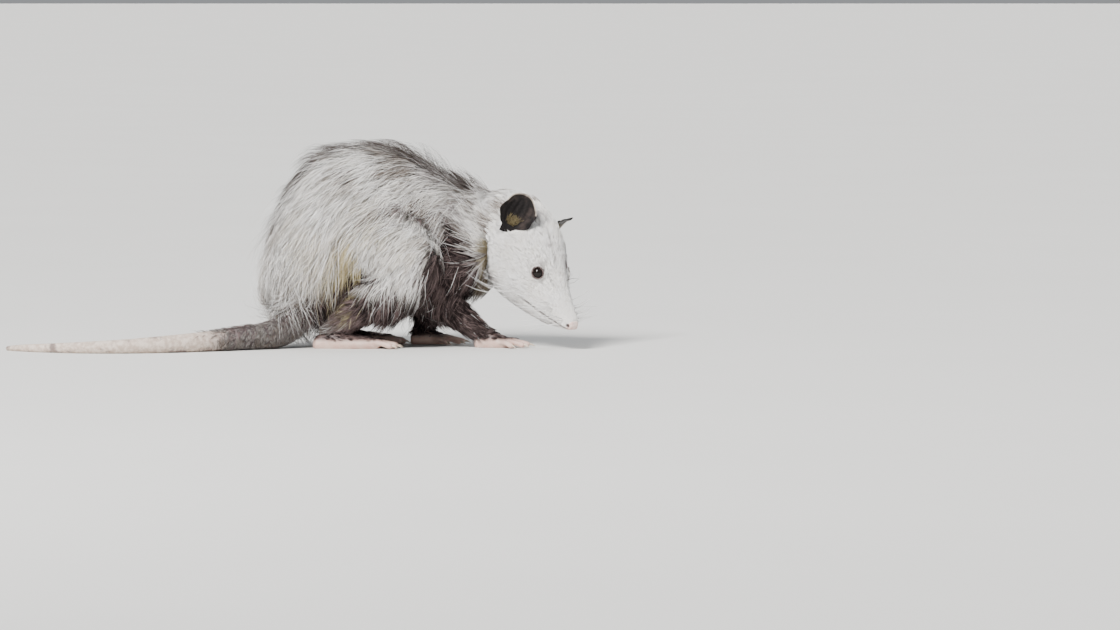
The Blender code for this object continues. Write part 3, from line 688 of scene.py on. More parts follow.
def ear_half_width(share):
    """Half the width of the ear's leaf at a share of its height."""
    leaf = np.maximum(0.0, (share - EAR_STALK) / (1 - EAR_STALK))
    rise = np.sqrt(np.maximum(0.0, 1 - (2 * leaf - 1) ** 2))
    return EAR_WIDTH / 2 * np.maximum(rise, 0.42 * (1 - share)) + 0.4


def in_ear(points, side):
    """Which points lie in the cup of an ear or in its wall."""
    root, stand, across, opening = ear_axes(side)
    offset = points - root
    share = offset @ stand / (EAR_HEIGHT + EAR_ROOT)
    wide, out = offset @ across, offset @ opening
    half = ear_half_width(np.clip(share, 0, 1))
    return (share > 0.1) & (share < 1) & (np.abs(wide) < half - 0.5) & (out > -3.5) & (out < 13)


def ear_grid(side, wall):
    """One face of an ear: a cupped leaf with low upright ridges inside."""
    root, stand, across, opening = ear_axes(side)
    t, s = np.meshgrid(np.linspace(0, 1, EAR_STEPS), np.linspace(-1, 1, EAR_COLUMNS), indexing="ij")
    height = (EAR_HEIGHT + EAR_ROOT) * np.sin(t * np.pi / 2) ** 0.9
    share = height / (EAR_HEIGHT + EAR_ROOT)
    half = ear_half_width(share)
    curl = EAR_DEPTH * (1 - 0.5 * share) * (s * half / (EAR_WIDTH / 2)) ** 2
    lean = 3.0 * share**2
    fade = ramp(1 - np.abs(s), 0.04, 0.3) * ramp(share, 0.12, 0.4) * ramp(1 - share, 0.05, 0.3)
    bent = s * (1 + 0.25 * share)
    ridges = EAR_RIDGE_HEIGHT * np.cos(bent * EAR_RIDGES * np.pi) * fade
    roll = 1.1 * ramp(np.abs(s), 0.86, 1.0) * ramp(share, 0.1, 0.5)
    thickness = EAR_WALL * (1.2 - 0.5 * share) * wall
    out = curl - lean + thickness + ridges * (wall > 0) + roll
    ripple = 0.8 * np.sin(share * 17 + 2) * np.abs(s) ** 6
    points = root + stand * height[..., None] + across * (s * half + ripple)[..., None]
    return points + opening * out[..., None]


def ear_piece(side):
    """A thin cupped ear, closed round its rim."""
    inner, outer = ear_grid(side, 0.5), ear_grid(side, -0.5)
    steps, columns = inner.shape[:2]
    sheet = np.array(grid_faces(steps, columns, columns - 1))
    faces = sheet.tolist() + (sheet + steps * columns).tolist()
    last = columns - 1
    rim = [(i, 0) for i in range(steps)] + [(steps - 1, j) for j in range(1, columns)]
    rim += [(i, last) for i in range(steps - 2, -1, -1)] + [(0, j) for j in range(last - 1, 0, -1)]
    other = steps * columns
    for (i, j), (k, m) in zip(rim, rim[1:] + rim[:1]):
        a, b = i * columns + j, k * columns + m
        faces.append((a, a + other, b + other, b))
    points = np.vstack([inner.reshape(-1, 3), outer.reshape(-1, 3)])
    return set_slot(mesh_object("ear_flesh", points, faces, len(FACINGS)), "ear")


def make_skin():
    """One closed skin over the whole animal, in place of all the nodes of flesh."""
    pieces = [head_piece(), tail_piece(), ear_piece("right"), ear_piece("left")]
    pieces += [foot_piece(pair, side) for pair, side in LEGS]
    skin = united(body_piece(), pieces)
    skin.name = skin.data.name = "skin"
    skin.data.shade_smooth()
    return skin


def unwrap(skin):
    """An unwrap of the skin's own shape, which the coat's tufts share."""
    select(skin)
    skin.data.uv_layers.new(name="OFBake")
    bpy.ops.object.mode_set(mode="EDIT")
    bpy.ops.mesh.select_all(action="SELECT")
    bpy.ops.uv.smart_project(angle_limit=math.radians(66), island_margin=0.002)
    bpy.ops.object.mode_set(mode="OBJECT")


# Markings as soft ovals on both flanks: x, z, half length, half height, turn in
# degrees and strength. One dark oval is painted shade in the fold between thigh and flank.
DARK_AND_SHADE_PATCHES = [
    (50, 80, 29, 42, 0, 1.0),
    (6, 44, 60, 28, 0, 1.0),
    (66, 52, 28, 34, 0, 1.0),
    (88, 72, 14, 26, 0, 0.72),
    (-62, 48, 38, 34, 0, 0.6),
    # Painted shade: the fold between thigh and flank.
    (20, 134, 40, 9, -24, 0.62),
    (68, 124, 26, 26, 0, 0.48),
    (34, 152, 52, 20, -22, 0.34),
    (-20, 70, 16, 30, 0, 0.3),
    (-96, 78, 12, 44, 0, 0.26),
]
WHITE_PATCHES = [
    (2, 98, 26, 22, -8, 1.0),
    (-70, 130, 30, 40, 0, 0.8),
    (-112, 84, 12, 36, 0, 0.6),
    (-30, 150, 34, 24, 0, 0.4),
]
STAIN_PATCHES = [
    (-46, 74, 15, 58, -7, 1.0),
    (-70, 100, 12, 46, 8, 0.45),
    (-34, 44, 18, 24, 0, 0.8),
    (-14, 130, 14, 40, 24, 0.4),
]
BROWN_PATCHES = [
    (91, 84, 9, 22, 0, 1.0),
    (86, 66, 10, 22, 0, 0.6),
    (76, 116, 16, 16, 0, 0.2),
]
# Soft clouds in the coat: each wave's direction, start and size.
MOTTLE_WAVES = [
    (0.11, 0.05, 0.06, 1.0, 0.7),
    (-0.07, 0.12, 0.10, 2.3, 0.7),
    (0.19, -0.08, 0.17, 4.1, 0.6),
    (0.30, 0.22, -0.26, 0.6, 0.45),
    (-0.42, 0.31, 0.37, 3.0, 0.35),
]
# Dusky places of the face: distance behind the nose tip, angle round the head,
# size and strength; then the same about each eye: ahead, up, size and strength.
# The first place, low on the cheek, is painted shade under the jaw.
FACE_SHADES = [(84, 120, 14, 0.5), (100, 10, 15, 0.45), (70, 6, 7, 0.35), (24, 70, 6, 0.25)]
EYE_SHADES = [(0.5, 9.0, 7.5, 0.62), (11.0, -1.0, 4.5, 0.6), (-8.0, 0.0, 5.0, 0.4)]
WHISKER_SHARES = (0.0, 0.12, 0.28, 0.46, 0.64, 0.82, 1.0)
WHISKER_LIMIT = 193.0  # no whisker reaches further ahead than this
# Hairs bend flat beyond a limit upwards and to the left, and get this much further.
COAT_TOP = (190.0, 13.0)
COAT_SIDE = (60.0, 8.0)
COAT_BOTTOM = 0.8
# The lower legs, from knee or elbow to ankle or wrist.
LIMB_ENDS = {
    ("hind", "right"): ((-8, -49, 59), (-70, -39, 11)),
    ("hind", "left"): ((-1, 31, 59), (-63, 21, 11)),
    ("fore", "right"): ((30, -25, 50), (84, -25, 11)),
    ("fore", "left"): ((28, 43, 50), (20, 26, 9)),
}


def facing(slots, *names):
    """Where the skin's material is the one named, an answer for each name."""
    return [slots == FACINGS.index(name) for name in names]


def off_middle(points):
    """How far to the left of the trunk's middle points are."""
    return points[:, 1] - read_rows(TRUNK, points[:, 0], 4)


def patches(points, ovals):
    """How strongly any of the soft ovals marks each point."""
    found = np.zeros(len(points))
    for x, z, long, tall, turn, strength in ovals:
        a = math.radians(turn)
        dx, dz = points[:, 0] - x, points[:, 2] - z
        u = (dx * math.cos(a) + dz * math.sin(a)) / long
        v = (dz * math.cos(a) - dx * math.sin(a)) / tall
        found = np.maximum(found, strength * (1 - ramp(np.hypot(u, v), 0.4, 1.4)))
    return found


def limb_reach(points):
    """How near a lower leg each point is, how far down it, and its direction."""
    near, down = np.zeros(len(points)), np.zeros(len(points))
    way = np.zeros((len(points), 3))
    for start, end in LIMB_ENDS.values():
        start, end = np.array(start, float), np.array(end, float)
        length = np.linalg.norm(end - start)
        ahead = (end - start) / length
        along = np.clip((points - start) @ ahead / length, 0, 1)
        off = np.linalg.norm(points - start - ahead * (along * length)[:, None], axis=1)
        here = (1 - ramp(off, 14, 26)) * ramp(along, 0.0, 0.25)
        closer = here > near
        near, down = np.where(closer, here, near), np.where(closer, along, down)
        way[closer] = ahead
    return near, down, way


def face_shades(points):
    """The dusky places of the face: painted shade low on the cheeks, the crown and round the eyes."""
    found = np.zeros(len(points))
    for sign in (-1, 1):
        middle, outward, along, up = eye_frame(sign)
        ahead = along * np.sign(along @ AHEAD)
        spots = [(head_skin(back, sign * angle), size, strong) for back, angle, size, strong in FACE_SHADES]
        for forward, upward, size, strong in EYE_SHADES:
            spots.append((middle + outward * 4 + ahead * forward + up * upward, size, strong))
        for spot, size, strong in spots:
            off = np.linalg.norm(points - spot, axis=1) / size
            found = np.maximum(found, strong * np.exp(-(off**2)))
    return found


def markings(points, normals, slots):
    """The coat's markings at places of the skin, each from 0 to 1, with painted shade in the fold between
    thigh and flank, low on the cheeks and in the nostrils.
    """
    near, _, _ = limb_reach(points)
    back, left, up = in_head(points)
    x, z = points[:, 0], points[:, 2]
    face, tail, bare, nose = facing(slots, "face", "tail", "bare", "nose")
    off = off_middle(points)
    right = 1 - 0.65 * ramp(off, -5, 15)
    white = patches(points, WHITE_PATCHES)
    dark = patches(points, DARK_AND_SHADE_PATCHES)
    belly = ramp(-normals[:, 2], 0.1, 0.6) * (1 - ramp(np.abs(x), 80, 110)) * (z < 90)
    dark = np.maximum(dark, belly * 0.85) * (1 - 0.9 * white)
    dark = np.maximum(dark, near * np.where(x < 14, 0.62, 0.97))
    ridge = (1 - ramp(np.abs(off), 7, 17)) * ramp(normals[:, 2], 0.2, 0.5) * ramp(x, -116, -98)
    ridge *= 1 - ramp(x, 80, 106)
    middle = np.exp(-((left / 2.2) ** 2)) * ramp(back, 20, 40) * (1 - ramp(back, 105, 125)) * (up > 5)
    # face_shades brings painted shade low on the cheeks.
    on_head = np.maximum(mouth_line(points), np.maximum(0.36 * middle, face_shades(points)))
    for sign in (-1, 1):
        on_head = np.maximum(on_head, 1 - ramp(off_eye_axis(points, sign), 6.1, 7.0))
        # Painted shade in each nostril's opening.
        nostril = head_place(NOSTRIL_PLACE[0], sign * NOSTRIL_PLACE[1], NOSTRIL_PLACE[2])
        on_head = np.maximum(on_head, 1 - ramp(np.linalg.norm(points - nostril, axis=1), 1.2, 2.3))
    brown = patches(points, BROWN_PATCHES)
    dark = np.where(face | nose, on_head, dark * (1 - 0.85 * brown))
    return {
        "dark": np.where(tail, 0.6, np.where(bare, 0.85, dark)),
        "white": np.where(face, 1.0, white),
        "stain": patches(points, STAIN_PATCHES) * ~face * right,
        "brown": brown * np.where(face, 0.2, 1) * right,
        "ridge": ridge * ~face,
    }


def lie_of_coat(points, normals, slots):
    """The way the hair lies: back from the nose, then back and down the body and legs."""
    nz, ny = normals[:, 2], normals[:, 1]
    x, z = points[:, 0], points[:, 2]
    steep = np.interp(x, [-122, -84, -50, 20, 70, 110], [5.0, 3.0, 2.0, 1.5, 1.15, 0.9])
    down = 0.12 + steep * (1 - np.abs(nz)) + 0.6 * (nz < -0.2)
    down += np.where(np.abs(ny) > 0.4, 0.9 * ramp(100 - z, 0, 70), 0)
    aside = 0.5 * np.clip(off_middle(points) / 12, -1, 1) * np.maximum(nz, 0)
    body = np.stack([-np.ones(len(x)), aside, -down], 1)
    back, left, up = in_head(points)
    cheek = ramp(np.abs(left), 12, 30) * ramp(back, 40, 90)
    from_nose = -AHEAD[None] + np.array((0, 0, -0.35)) * cheek[:, None] + OVER * 0.1
    face, bare = facing(slots, "face", "bare")
    headward = np.where(face, 1 - 0.6 * ramp(back, 105, 141), 0.7 * (1 - ramp(back, 125, 165)))
    headward *= np.hypot(left, up) < 62
    way = unit(body) * (1 - headward[:, None]) + unit(from_nose) * headward[:, None]
    near, _, limb = limb_reach(points)
    way = way * (1 - near[:, None]) + limb * near[:, None]
    way[bare] = (1.0, 0.0, -0.3)
    return unit(way - normals * (way * normals).sum(1, keepdims=True))


def read_skin(skin):
    """The skin's triangles as arrays, and a tree that finds its nearest point."""
    mesh = skin.data
    mesh.calc_loop_triangles()
    triangles, points = mesh.loop_triangles, places_of(mesh)
    corners = read(triangles, "vertices", 3, np.int32)
    slots = read(mesh.polygons, "material_index", kind=np.int32)
    a, b, c = (points[corners[:, k]] for k in range(3))
    return {
        "points": points,
        "normals": unit(read(mesh.vertices, "normal", 3).astype(float)),
        "uvs": read(mesh.uv_layers["OFBake"].data, "uv", 2),
        "corners": corners,
        "loops": read(triangles, "loops", 3, np.int32),
        "slots": slots[read(triangles, "polygon_index", kind=np.int32)],
        "areas": np.linalg.norm(np.cross(b - a, c - a), axis=1) / 2,
        "middles": (a + b + c) / 3,
        "tree": BVHTree.FromPolygons(points.tolist(), corners.tolist()),
    }


def scatter(surface, weights, count, draw):
    """Roots over the skin: place, normal, place on the unwrap and material."""
    chance = surface["areas"] * weights
    picked = draw.choice(len(chance), size=count, p=chance / chance.sum())
    u, v = np.sort(draw.random((2, count)), axis=0)
    shares = np.stack([u, v - u, 1 - v], 1)[..., None]
    corners, loops = surface["corners"][picked], surface["loops"][picked]
    places = (surface["points"][corners] * shares).sum(1)
    normals = unit((surface["normals"][corners] * shares).sum(1))
    return places, normals, (surface["uvs"][loops] * shares).sum(1), surface["slots"][picked]


def nearest(tree, points):
    """The nearest places of the skin to points, and the skin's directions there."""
    found = [tree.find_nearest(p)[:2] for p in points.tolist()]
    places = np.array([tuple(place) for place, _ in found])
    return places, np.array([tuple(normal) for _, normal in found])


def laid(surface, roots, hair, shares, draw):
    """Middle points of tufts that leave their roots and lie along the skin."""
    places, normals, _, slots = roots
    lie = lie_of_coat(places, normals, slots)
    turn = draw.normal(0, hair["stray"], len(places))
    lie = unit(lie * np.cos(turn)[:, None] + np.cross(normals, lie) * np.sin(turn)[:, None])
    here, up = places.copy(), normals.copy()
    middles, ups, before = [places - up * 0.6], [up], 0.0
    for share in shares[1:]:
        step = hair["length"] * (share - before)
        before = share
        here = here + lie * step[:, None]
        here, outward = nearest(surface["tree"], here)
        up = unit(up * 0.35 + outward)
        lie = unit(lie - up * (lie * up).sum(1, keepdims=True))
        height = hair["depth"] * (1 - (1 - share) ** 1.7)
        middle = here + up * height[:, None]
        middle[:, 2] -= hair["hang"] * share**2
        middles.append(middle)
        ups.append(up)
    return np.stack(middles, 1), np.stack(ups, 1)


def nearest_seed(seeds, points):
    """For each point, the number of the seed nearest to it."""
    tree = KDTree(len(seeds))
    for i, seed in enumerate(seeds):
        tree.insert(seed, i)
    tree.balance()
    return np.array([tree.find(p)[1] for p in points.tolist()])


def clumped(middles, ups, shares, hair, draw):
    """The tufts with their tips drawn together in locks, each lifted by its own share."""
    leaders = max(1, len(middles) // hair["clump_of"])
    leader = nearest_seed(middles[:leaders, 0], middles[:, 0])
    rise = 1 - (1 - np.array(shares)) ** 1.7
    lift = hair["depth"] * draw.uniform(-0.3, hair["lift"], leaders)[leader]
    middles = middles + ups * (lift[:, None] * rise[None])[..., None]
    pull = draw.uniform(*hair["clump"], leaders)[leader]
    shape = np.array(shares) ** 1.4
    away = middles[leader] - middles
    pull = pull * (1 - ramp(np.linalg.norm(away[:, -1], axis=1), 11, 20))
    return middles + away * pull[:, None, None] * shape[None, :, None], leader


def set_marks(mesh, marks):
    """Gives the mesh's vertices the markings as attributes."""
    for key, values in marks.items():
        mesh.attributes.new(key, "FLOAT", "POINT").data.foreach_set("value", values.astype(np.float32))


def tuft_mesh(name, middles, ups, shares, width, uvs, marks):
    """Tapered three-sided tufts through their middle points, as one mesh."""
    count, rows = middles.shape[:2]
    rings = rows - 1
    across = unit(np.cross(ups, unit(np.gradient(middles, axis=1))))
    shape = (1 - np.array(shares[:-1]) ** 1.6) * 0.5
    shape[0] *= 0.75
    half = (width[:, None] * shape[None])[..., None]
    side, rise = across[:, :-1] * half, ups[:, :-1] * half * 0.55
    middle = middles[:, :-1]
    ring = np.stack([middle - side, middle + side, middle + rise], 2).reshape(count, -1, 3)
    points = np.concatenate([ring, middles[:, -1:]], 1)
    faces = [(0, 2, 1)]
    for a in range(0, 3 * rings, 3):
        for j, k in ((0, 1), (1, 2), (2, 0)):
            if a < 3 * (rings - 1):
                faces += [(a + j, a + k, a + k + 3), (a + j, a + k + 3, a + j + 3)]
            else:
                faces.append((a + j, a + k, 3 * rings))
    each = points.shape[1]
    corners = (np.array(faces)[None] + each * np.arange(count)[:, None, None]).reshape(-1)
    mesh = bpy.data.meshes.new(name)
    mesh.vertices.add(count * each)
    set_places(mesh, points)
    mesh.loops.add(len(corners))
    mesh.loops.foreach_set("vertex_index", corners.astype(np.int32))
    mesh.polygons.add(len(corners) // 3)
    mesh.polygons.foreach_set("loop_start", np.arange(0, len(corners), 3, dtype=np.int32))
    mesh.update(calc_edges=True)
    mesh.shade_smooth()
    along = np.append(np.repeat(np.array(shares[:-1]), 3), 1.0)
    sideways = np.append(np.tile([-1.0, 1.0, 0.0], rings), 0.0)
    patch = uvs[:, None] + PATCH_HALF * np.stack([sideways, 2 * along - 1], 1)[None]
    layer = mesh.uv_layers.new(name="OFBake")
    layer.data.foreach_set("uv", patch.reshape(-1, 2)[corners].astype(np.float32).ravel())
    values = {key: np.repeat(value, each) for key, value in marks.items()}
    set_marks(mesh, values | {"along": np.tile(along, count)})
    return placed(name, mesh)


def tuft_marks(roots, leader, draw):
    """Markings of each tuft, which vary from lock to lock and tuft to tuft."""
    places, normals, _, slots = roots
    marks = markings(places, normals, slots)
    lock, own = draw.random(len(places))[leader], draw.random(len(places))
    mixed = 0.3 * lock + 0.28 * own + 0.42 * mottle(places)
    for key in ("dark", "stain", "brown"):
        marks[key] = ramp(marks[key] + MARK_SPREAD * (mixed - 0.5), 0.25, 0.75) * (marks[key] > 0.03)
    marks["tone"] = np.where(*facing(slots, "face"), 0.4 + 0.55 * mixed, mixed)
    return marks


def coat_sizes(roots, draw):
    """Length, depth and width of the coat's tufts at each root."""
    places, normals, _, slots = roots
    back, _, _ = in_head(places)
    face, tail, bare = facing(slots, "face", "tail", "bare")
    near, down, _ = limb_reach(places)
    x, z = places[:, 0], places[:, 2]
    by_head = 1 - ramp(back, 128, 165)
    depth = read_rows(TRUNK, x, 5) * (1 - 0.4 * by_head)
    length = np.interp(x, [-119, -80, 0, 60, 110], [46, 46, 38, 34, 24]) * (1 - 0.3 * by_head)
    leg = near * (0.35 + 0.65 * down)
    depth, length = depth * (1 - leg) + 2.4 * leg, length * (1 - leg) + 9 * leg
    for where, own_depth, own_length in (
        (face, read_rows(FACE_FUR, back, 1), read_rows(FACE_FUR, back, 2)),
        (tail, TAIL_FUR_DEPTH, 10.0),
        (bare, 0.9, 5.5),
    ):
        depth, length = np.where(where, own_depth, depth), np.where(where, own_length, length)
    size = draw.uniform(0.7, 1.2, len(places))
    fringe = ramp(-normals[:, 2], -0.35, 0.6) * (1 - ramp(z, 60, 90))
    hang = np.where(face | tail | bare, 0.0, 11.0 * fringe) * (1 - near)
    width = np.interp(length, [1.5, 3, 6, 12, 30], [0.32, 0.38, 0.5, 0.8, 1.2])
    return {"length": length * size, "depth": depth * size, "hang": hang * size, "width": width}


def mottle(points):
    """Soft clouds over the coat, from 0 to 1, a few centimetres across."""
    total = np.zeros(len(points))
    for *wave, start, size in MOTTLE_WAVES:
        total += size * np.sin(points @ np.array(wave) + start)
    return 0.5 + 0.5 * np.tanh(0.8 * total)


def mouth_line(points):
    """How near the closed mouth's line each point of the head is, from 0 to 1."""
    back, left, up = in_head(points)
    top, bottom, half = (read_rows(HEAD, back, k) for k in (1, 2, 3))
    angle = np.degrees(np.arctan2(np.abs(left) / half, up / np.where(up > 0, top, -bottom)))
    off = np.radians(angle - MOUTH_ANGLE) * np.hypot(left, up)
    reach = (1 - ramp(back, MOUTH_CORNER - 5, MOUTH_CORNER + 3)) * ramp(back, 1.0, 5.0)
    return np.exp(-((off / 1.35) ** 2)) * reach


def as_guard_hairs(hair, roots, draw):
    """Sizes of the long thin hairs that stand out of the coat, upright on the spine."""
    ridge = markings(roots[0], roots[1], roots[3])["ridge"]
    own = draw.uniform(0.75, 1.15, len(ridge))
    near = limb_reach(roots[0])[0]
    length = hair["length"] * 1.5 * (1 - ridge) + 30 * ridge * own
    depth = hair["depth"] * (1.8 - 0.5 * near) * (1 - ridge) + 17 * ridge * own
    width = 0.5 + 0.25 * ridge
    return {**hair, "length": length, "depth": depth, "hang": hair["hang"] * 0.6, "width": width}


def held(places, limit, spare):
    """Places along one axis, bent so that none goes much further than the limit."""
    over = np.maximum(places - limit, 0)
    return np.minimum(places, limit) + spare * (1 - np.exp(-over / spare))


def clear_tufts(middles, places):
    """Which tufts keep off the eyes, the cups of the ears and the mouth's line."""
    points = middles.reshape(-1, 3)
    covered = np.zeros(len(points), bool)
    for side, sign in SIDES.items():
        covered |= (off_eye_axis(points, sign) < EYE_RADIUS) | in_ear(points, side)
    return ~covered.reshape(middles.shape[:2]).any(1) & (mouth_line(places) < 0.35)


def bent_hair(back, angle, backward, length):
    """Middle points of one whisker, which leaves the head's skin and bends back."""
    root, out = head_skin(back, angle), head_normal(back, angle)
    first = unit(out - AHEAD * 0.3)
    then = unit(out * 0.6 - AHEAD * backward + np.array((0, 0, -0.15)))
    middle = root + first * length * 0.5
    tip = root + first * length * 0.35 + then * length * 0.7
    tip[0], middle[0] = min(tip[0], WHISKER_LIMIT), min(middle[0], WHISKER_LIMIT - 5)
    s = np.array(WHISKER_SHARES)[:, None]
    return (1 - s) ** 2 * (root - out * 0.8) + 2 * s * (1 - s) * middle + s**2 * tip


def loose_tufts(name, paths, up, shares, width, surface, **marks):
    """Hairs that are no part of the even coat, as one mesh, marked as given."""
    count = len(paths)
    found = [surface["tree"].find_nearest(p)[2] for p in paths[:, 0].tolist()]
    uvs = surface["uvs"][surface["loops"][found, 0]]
    marks = {key: np.zeros(count) + marks.get(key, 0.0) for key in MARKS[:-1]}
    ups = np.tile(up, (*paths.shape[:2], 1))
    return tuft_mesh(name, paths, ups, shares, np.full(count, width), uvs, marks)


def whiskers(surface, draw):
    """The whiskers of lips and cheeks and the brow hairs."""
    paths, dark = [], []
    for sign in (-1, 1):
        for _ in range(20):
            back, angle = draw.uniform(9, 32), sign * draw.uniform(70, 112)
            paths.append(bent_hair(back, angle, draw.uniform(0.3, 1.3), 26 + back + draw.uniform(0, 12)))
        for _ in range(7):
            back, angle = draw.uniform(58, 72), sign * draw.uniform(92, 116)
            paths.append(bent_hair(back, angle, draw.uniform(1.2, 2.0), draw.uniform(44, 62)))
        dark += [0.0] * 27
        for back in BROW_HAIRS[sign]:
            paths.append(bent_hair(back, sign * 30, -0.2, draw.uniform(14, 19)))
            dark.append(1.0)
    dark, up = np.array(dark), unit(OVER * 0.6 + AHEAD * 0.8)
    marks = {"dark": dark, "white": 1.0, "tone": 0.9 - 0.7 * dark}
    return loose_tufts("whiskers", np.array(paths), up, WHISKER_SHARES, 0.62, surface, **marks)


def ear_tufts(surface, draw):
    """The olive tufts in the cups of the ears."""
    places, ways = [], []
    for side, count in EAR_TUFTS.items():
        _, stand, across, opening = ear_axes(side)
        inner = ear_grid(side, 0.5)[5:10, 12:-12].reshape(-1, 3)
        picked = inner[draw.integers(0, len(inner), count)]
        places.append(picked + across * draw.normal(0, 0.8, (count, 1)))
        spread = draw.normal(0, 0.3, (count, 1))
        ways.append(unit(stand + opening * draw.uniform(0.1, 0.5, (count, 1)) + across * spread))
    places, ways = np.concatenate(places), np.concatenate(ways)
    length = draw.uniform(4, 8.5, (len(places), 1, 1))
    paths = places[:, None] + ways[:, None] * length * np.array(EAR_SHARES)[None, :, None]
    marks = {"stain": 0.3, "brown": 1.0, "dark": draw.uniform(0.05, 0.55, len(paths)), "tone": 0.4}
    return loose_tufts("ear_tufts", paths, AHEAD, EAR_SHARES, 0.7, surface, **marks)


def coat_plan(surface):
    """Name, weights over the skin, number of tufts and their shares of each coat piece."""
    slots, middles = surface["slots"], surface["middles"]
    back, near = in_head(middles)[0], limb_reach(middles)[0]
    fur, face, tail, bare = facing(slots, "fur", "face", "tail", "bare")
    body, face = fur * (1 + 0.4 * near), face * (back > NOSE_CUT)
    bands = []
    for number, (low, high) in enumerate(zip(BAND_EDGES, BAND_EDGES[1:]), 1):
        chosen = body * (middles[:, 0] >= low) * (middles[:, 0] < high)
        bands.append((f"coat_band_{number}", chosen, 6300, LONG_SHARES))
    upward = surface["normals"][surface["corners"][:, 0]]
    spine = markings(middles, upward, slots)["ridge"]
    furred = tail * (1 - ramp(tail_share(middles), 0.36, TAIL_FUR_END))
    return bands + [
        ("coat_muzzle", face * (back < 46), 17500, SHORT_SHARES),
        ("coat_cheek", face * (back >= 46) * (back < 88), 16500, SHORT_SHARES),
        ("coat_crown", face * (back >= 88), 9500, LONG_SHARES),
        ("coat_tail_root", furred, 9500, SHORT_SHARES),
        ("coat_insteps", bare * ramp(middles[:, 2], 7, 12), 3000, SHORT_SHARES),
        ("guard_hairs", body * (1 - 0.6 * near) * (1 + 3 * spine), 5600, LONG_SHARES),
    ]


def coat_piece(surface, name, weights, count, shares, draw):
    """One piece of the coat, laid, drawn into locks and marked."""
    roots = scatter(surface, weights, int(count * (1.0)), draw)
    hair = coat_sizes(roots, draw) | COMBING
    guard = name == "guard_hairs"
    if guard:
        hair = as_guard_hairs(hair, roots, draw) | GUARD_COMBING
    if name in ("coat_muzzle", "coat_cheek"):
        hair |= FACE_COMBING
    paths, ups = laid(surface, roots, hair, shares, draw)
    paths, leader = clumped(paths, ups, shares, hair, draw)
    paths[..., 1] = held(paths[..., 1], *COAT_SIDE)
    paths[..., 2] = np.maximum(held(paths[..., 2], *COAT_TOP), COAT_BOTTOM)
    marks = tuft_marks(roots, leader, draw)
    if guard:
        pale = draw.random(len(paths)) < 0.45 - 0.35 * np.maximum(marks["dark"], marks["brown"])
        marks["dark"] = np.where(pale, 0.0, marks["dark"])
        marks["brown"] = marks["brown"] * 0.4
        marks["tone"] = np.where(marks["ridge"] > 0.35, 0.3, 0.85)
    kept = clear_tufts(paths, roots[0])
    marks = {key: values[kept] for key, values in marks.items()}
    return tuft_mesh(name, paths[kept], ups[kept], shares, hair["width"][kept], roots[2][kept], marks)


def coat_pieces(surface, draw):
    """The whole coat as tufts in several pieces, each under 200,000 triangles."""
    made = [whiskers(surface, draw), ear_tufts(surface, draw)]
    made += [coat_piece(surface, *row, draw) for row in coat_plan(surface)]
    finish = new_material("coat_hair", 0.65, 0.1, coat_paint)
    for piece in made:
        piece.data.materials.append(finish)
    return made


def tail_share(points):
    """How far along the tail the nearest place of its middle line is, from 0 to 1."""
    path = smooth_rows(TAIL, 200)
    return nearest_seed(path[:, :3], points) / (len(path) - 1)


def vertex_slots(mesh):
    """The material index of each vertex of the mesh."""
    indices, totals = (read(mesh.polygons, key, kind=np.int32) for key in ("material_index", "loop_total"))
    slots = np.zeros(len(mesh.vertices), np.int32)
    slots[read(mesh.loops, "vertex_index", kind=np.int32)] = np.repeat(indices, totals)
    return slots


def mark_skin(skin):
    """The same markings on the skin as attributes that its materials read."""
    mesh = skin.data
    slots, points = vertex_slots(mesh), places_of(mesh)
    marks = markings(points, read(mesh.vertices, "normal", 3).astype(float), slots)
    set_marks(mesh, marks | {"tail_along": tail_share(points), "ear_rim": ear_rim(points, slots)})


def ear_rim(points, slots):
    """How near the pale upper rim of an ear each point of the skin is."""
    rim = np.zeros(len(points))
    (on_ear,) = facing(slots, "ear")
    for side in SIDES:
        edge = ear_grid(side, 0.0)
        border = np.vstack([edge[22:, 0], edge[22:, -1], edge[-1]])
        off = np.linalg.norm(points[on_ear][:, None] - border[None], axis=2).min(1)
        rim[on_ear] = np.maximum(rim[on_ear], 1 - ramp(off, 0.5, 2.0))
    return rim


def new_material(name, roughness, specular, paint):
    """A material whose colour, and relief if it has one, come from paint."""
    material = bpy.data.materials.new(name)
    material.use_nodes = True
    tree = material.node_tree
    inputs = tree.nodes["Principled BSDF"].inputs
    inputs["Roughness"].default_value = roughness
    inputs["Specular IOR Level"].default_value = specular
    colour, *relief = paint(tree)
    put(tree, inputs["Base Color"], colour)
    if relief:
        height, strength, distance = relief
        bump = node(tree, "ShaderNodeBump", Strength=strength, Distance=distance)
        put(tree, bump.inputs["Height"], height)
        put(tree, inputs["Normal"], bump.outputs["Normal"])
    return material


def node(tree, kind, **values):
    """A node of this kind with properties and input values by name."""
    made = tree.nodes.new(kind)
    for key, value in values.items():
        if key in made.bl_rna.properties and key != "inputs":
            setattr(made, key, value)
        else:
            made.inputs[key].default_value = value
    return made


def attribute(tree, name):
    return node(tree, "ShaderNodeAttribute", attribute_name=name).outputs["Fac"]


def blended(tree, share, first, second, mode="MIX"):
    """A colour mixed from first to second by share, each a colour or a socket."""
    mix = node(tree, "ShaderNodeMix", data_type="RGBA", blend_type=mode)
    put(tree, mix.inputs["Factor"], share)
    colours = [s for s in mix.inputs if s.type == "RGBA"]
    put(tree, colours[0], first)
    put(tree, colours[1], second)
    return [s for s in mix.outputs if s.type == "RGBA"][0]


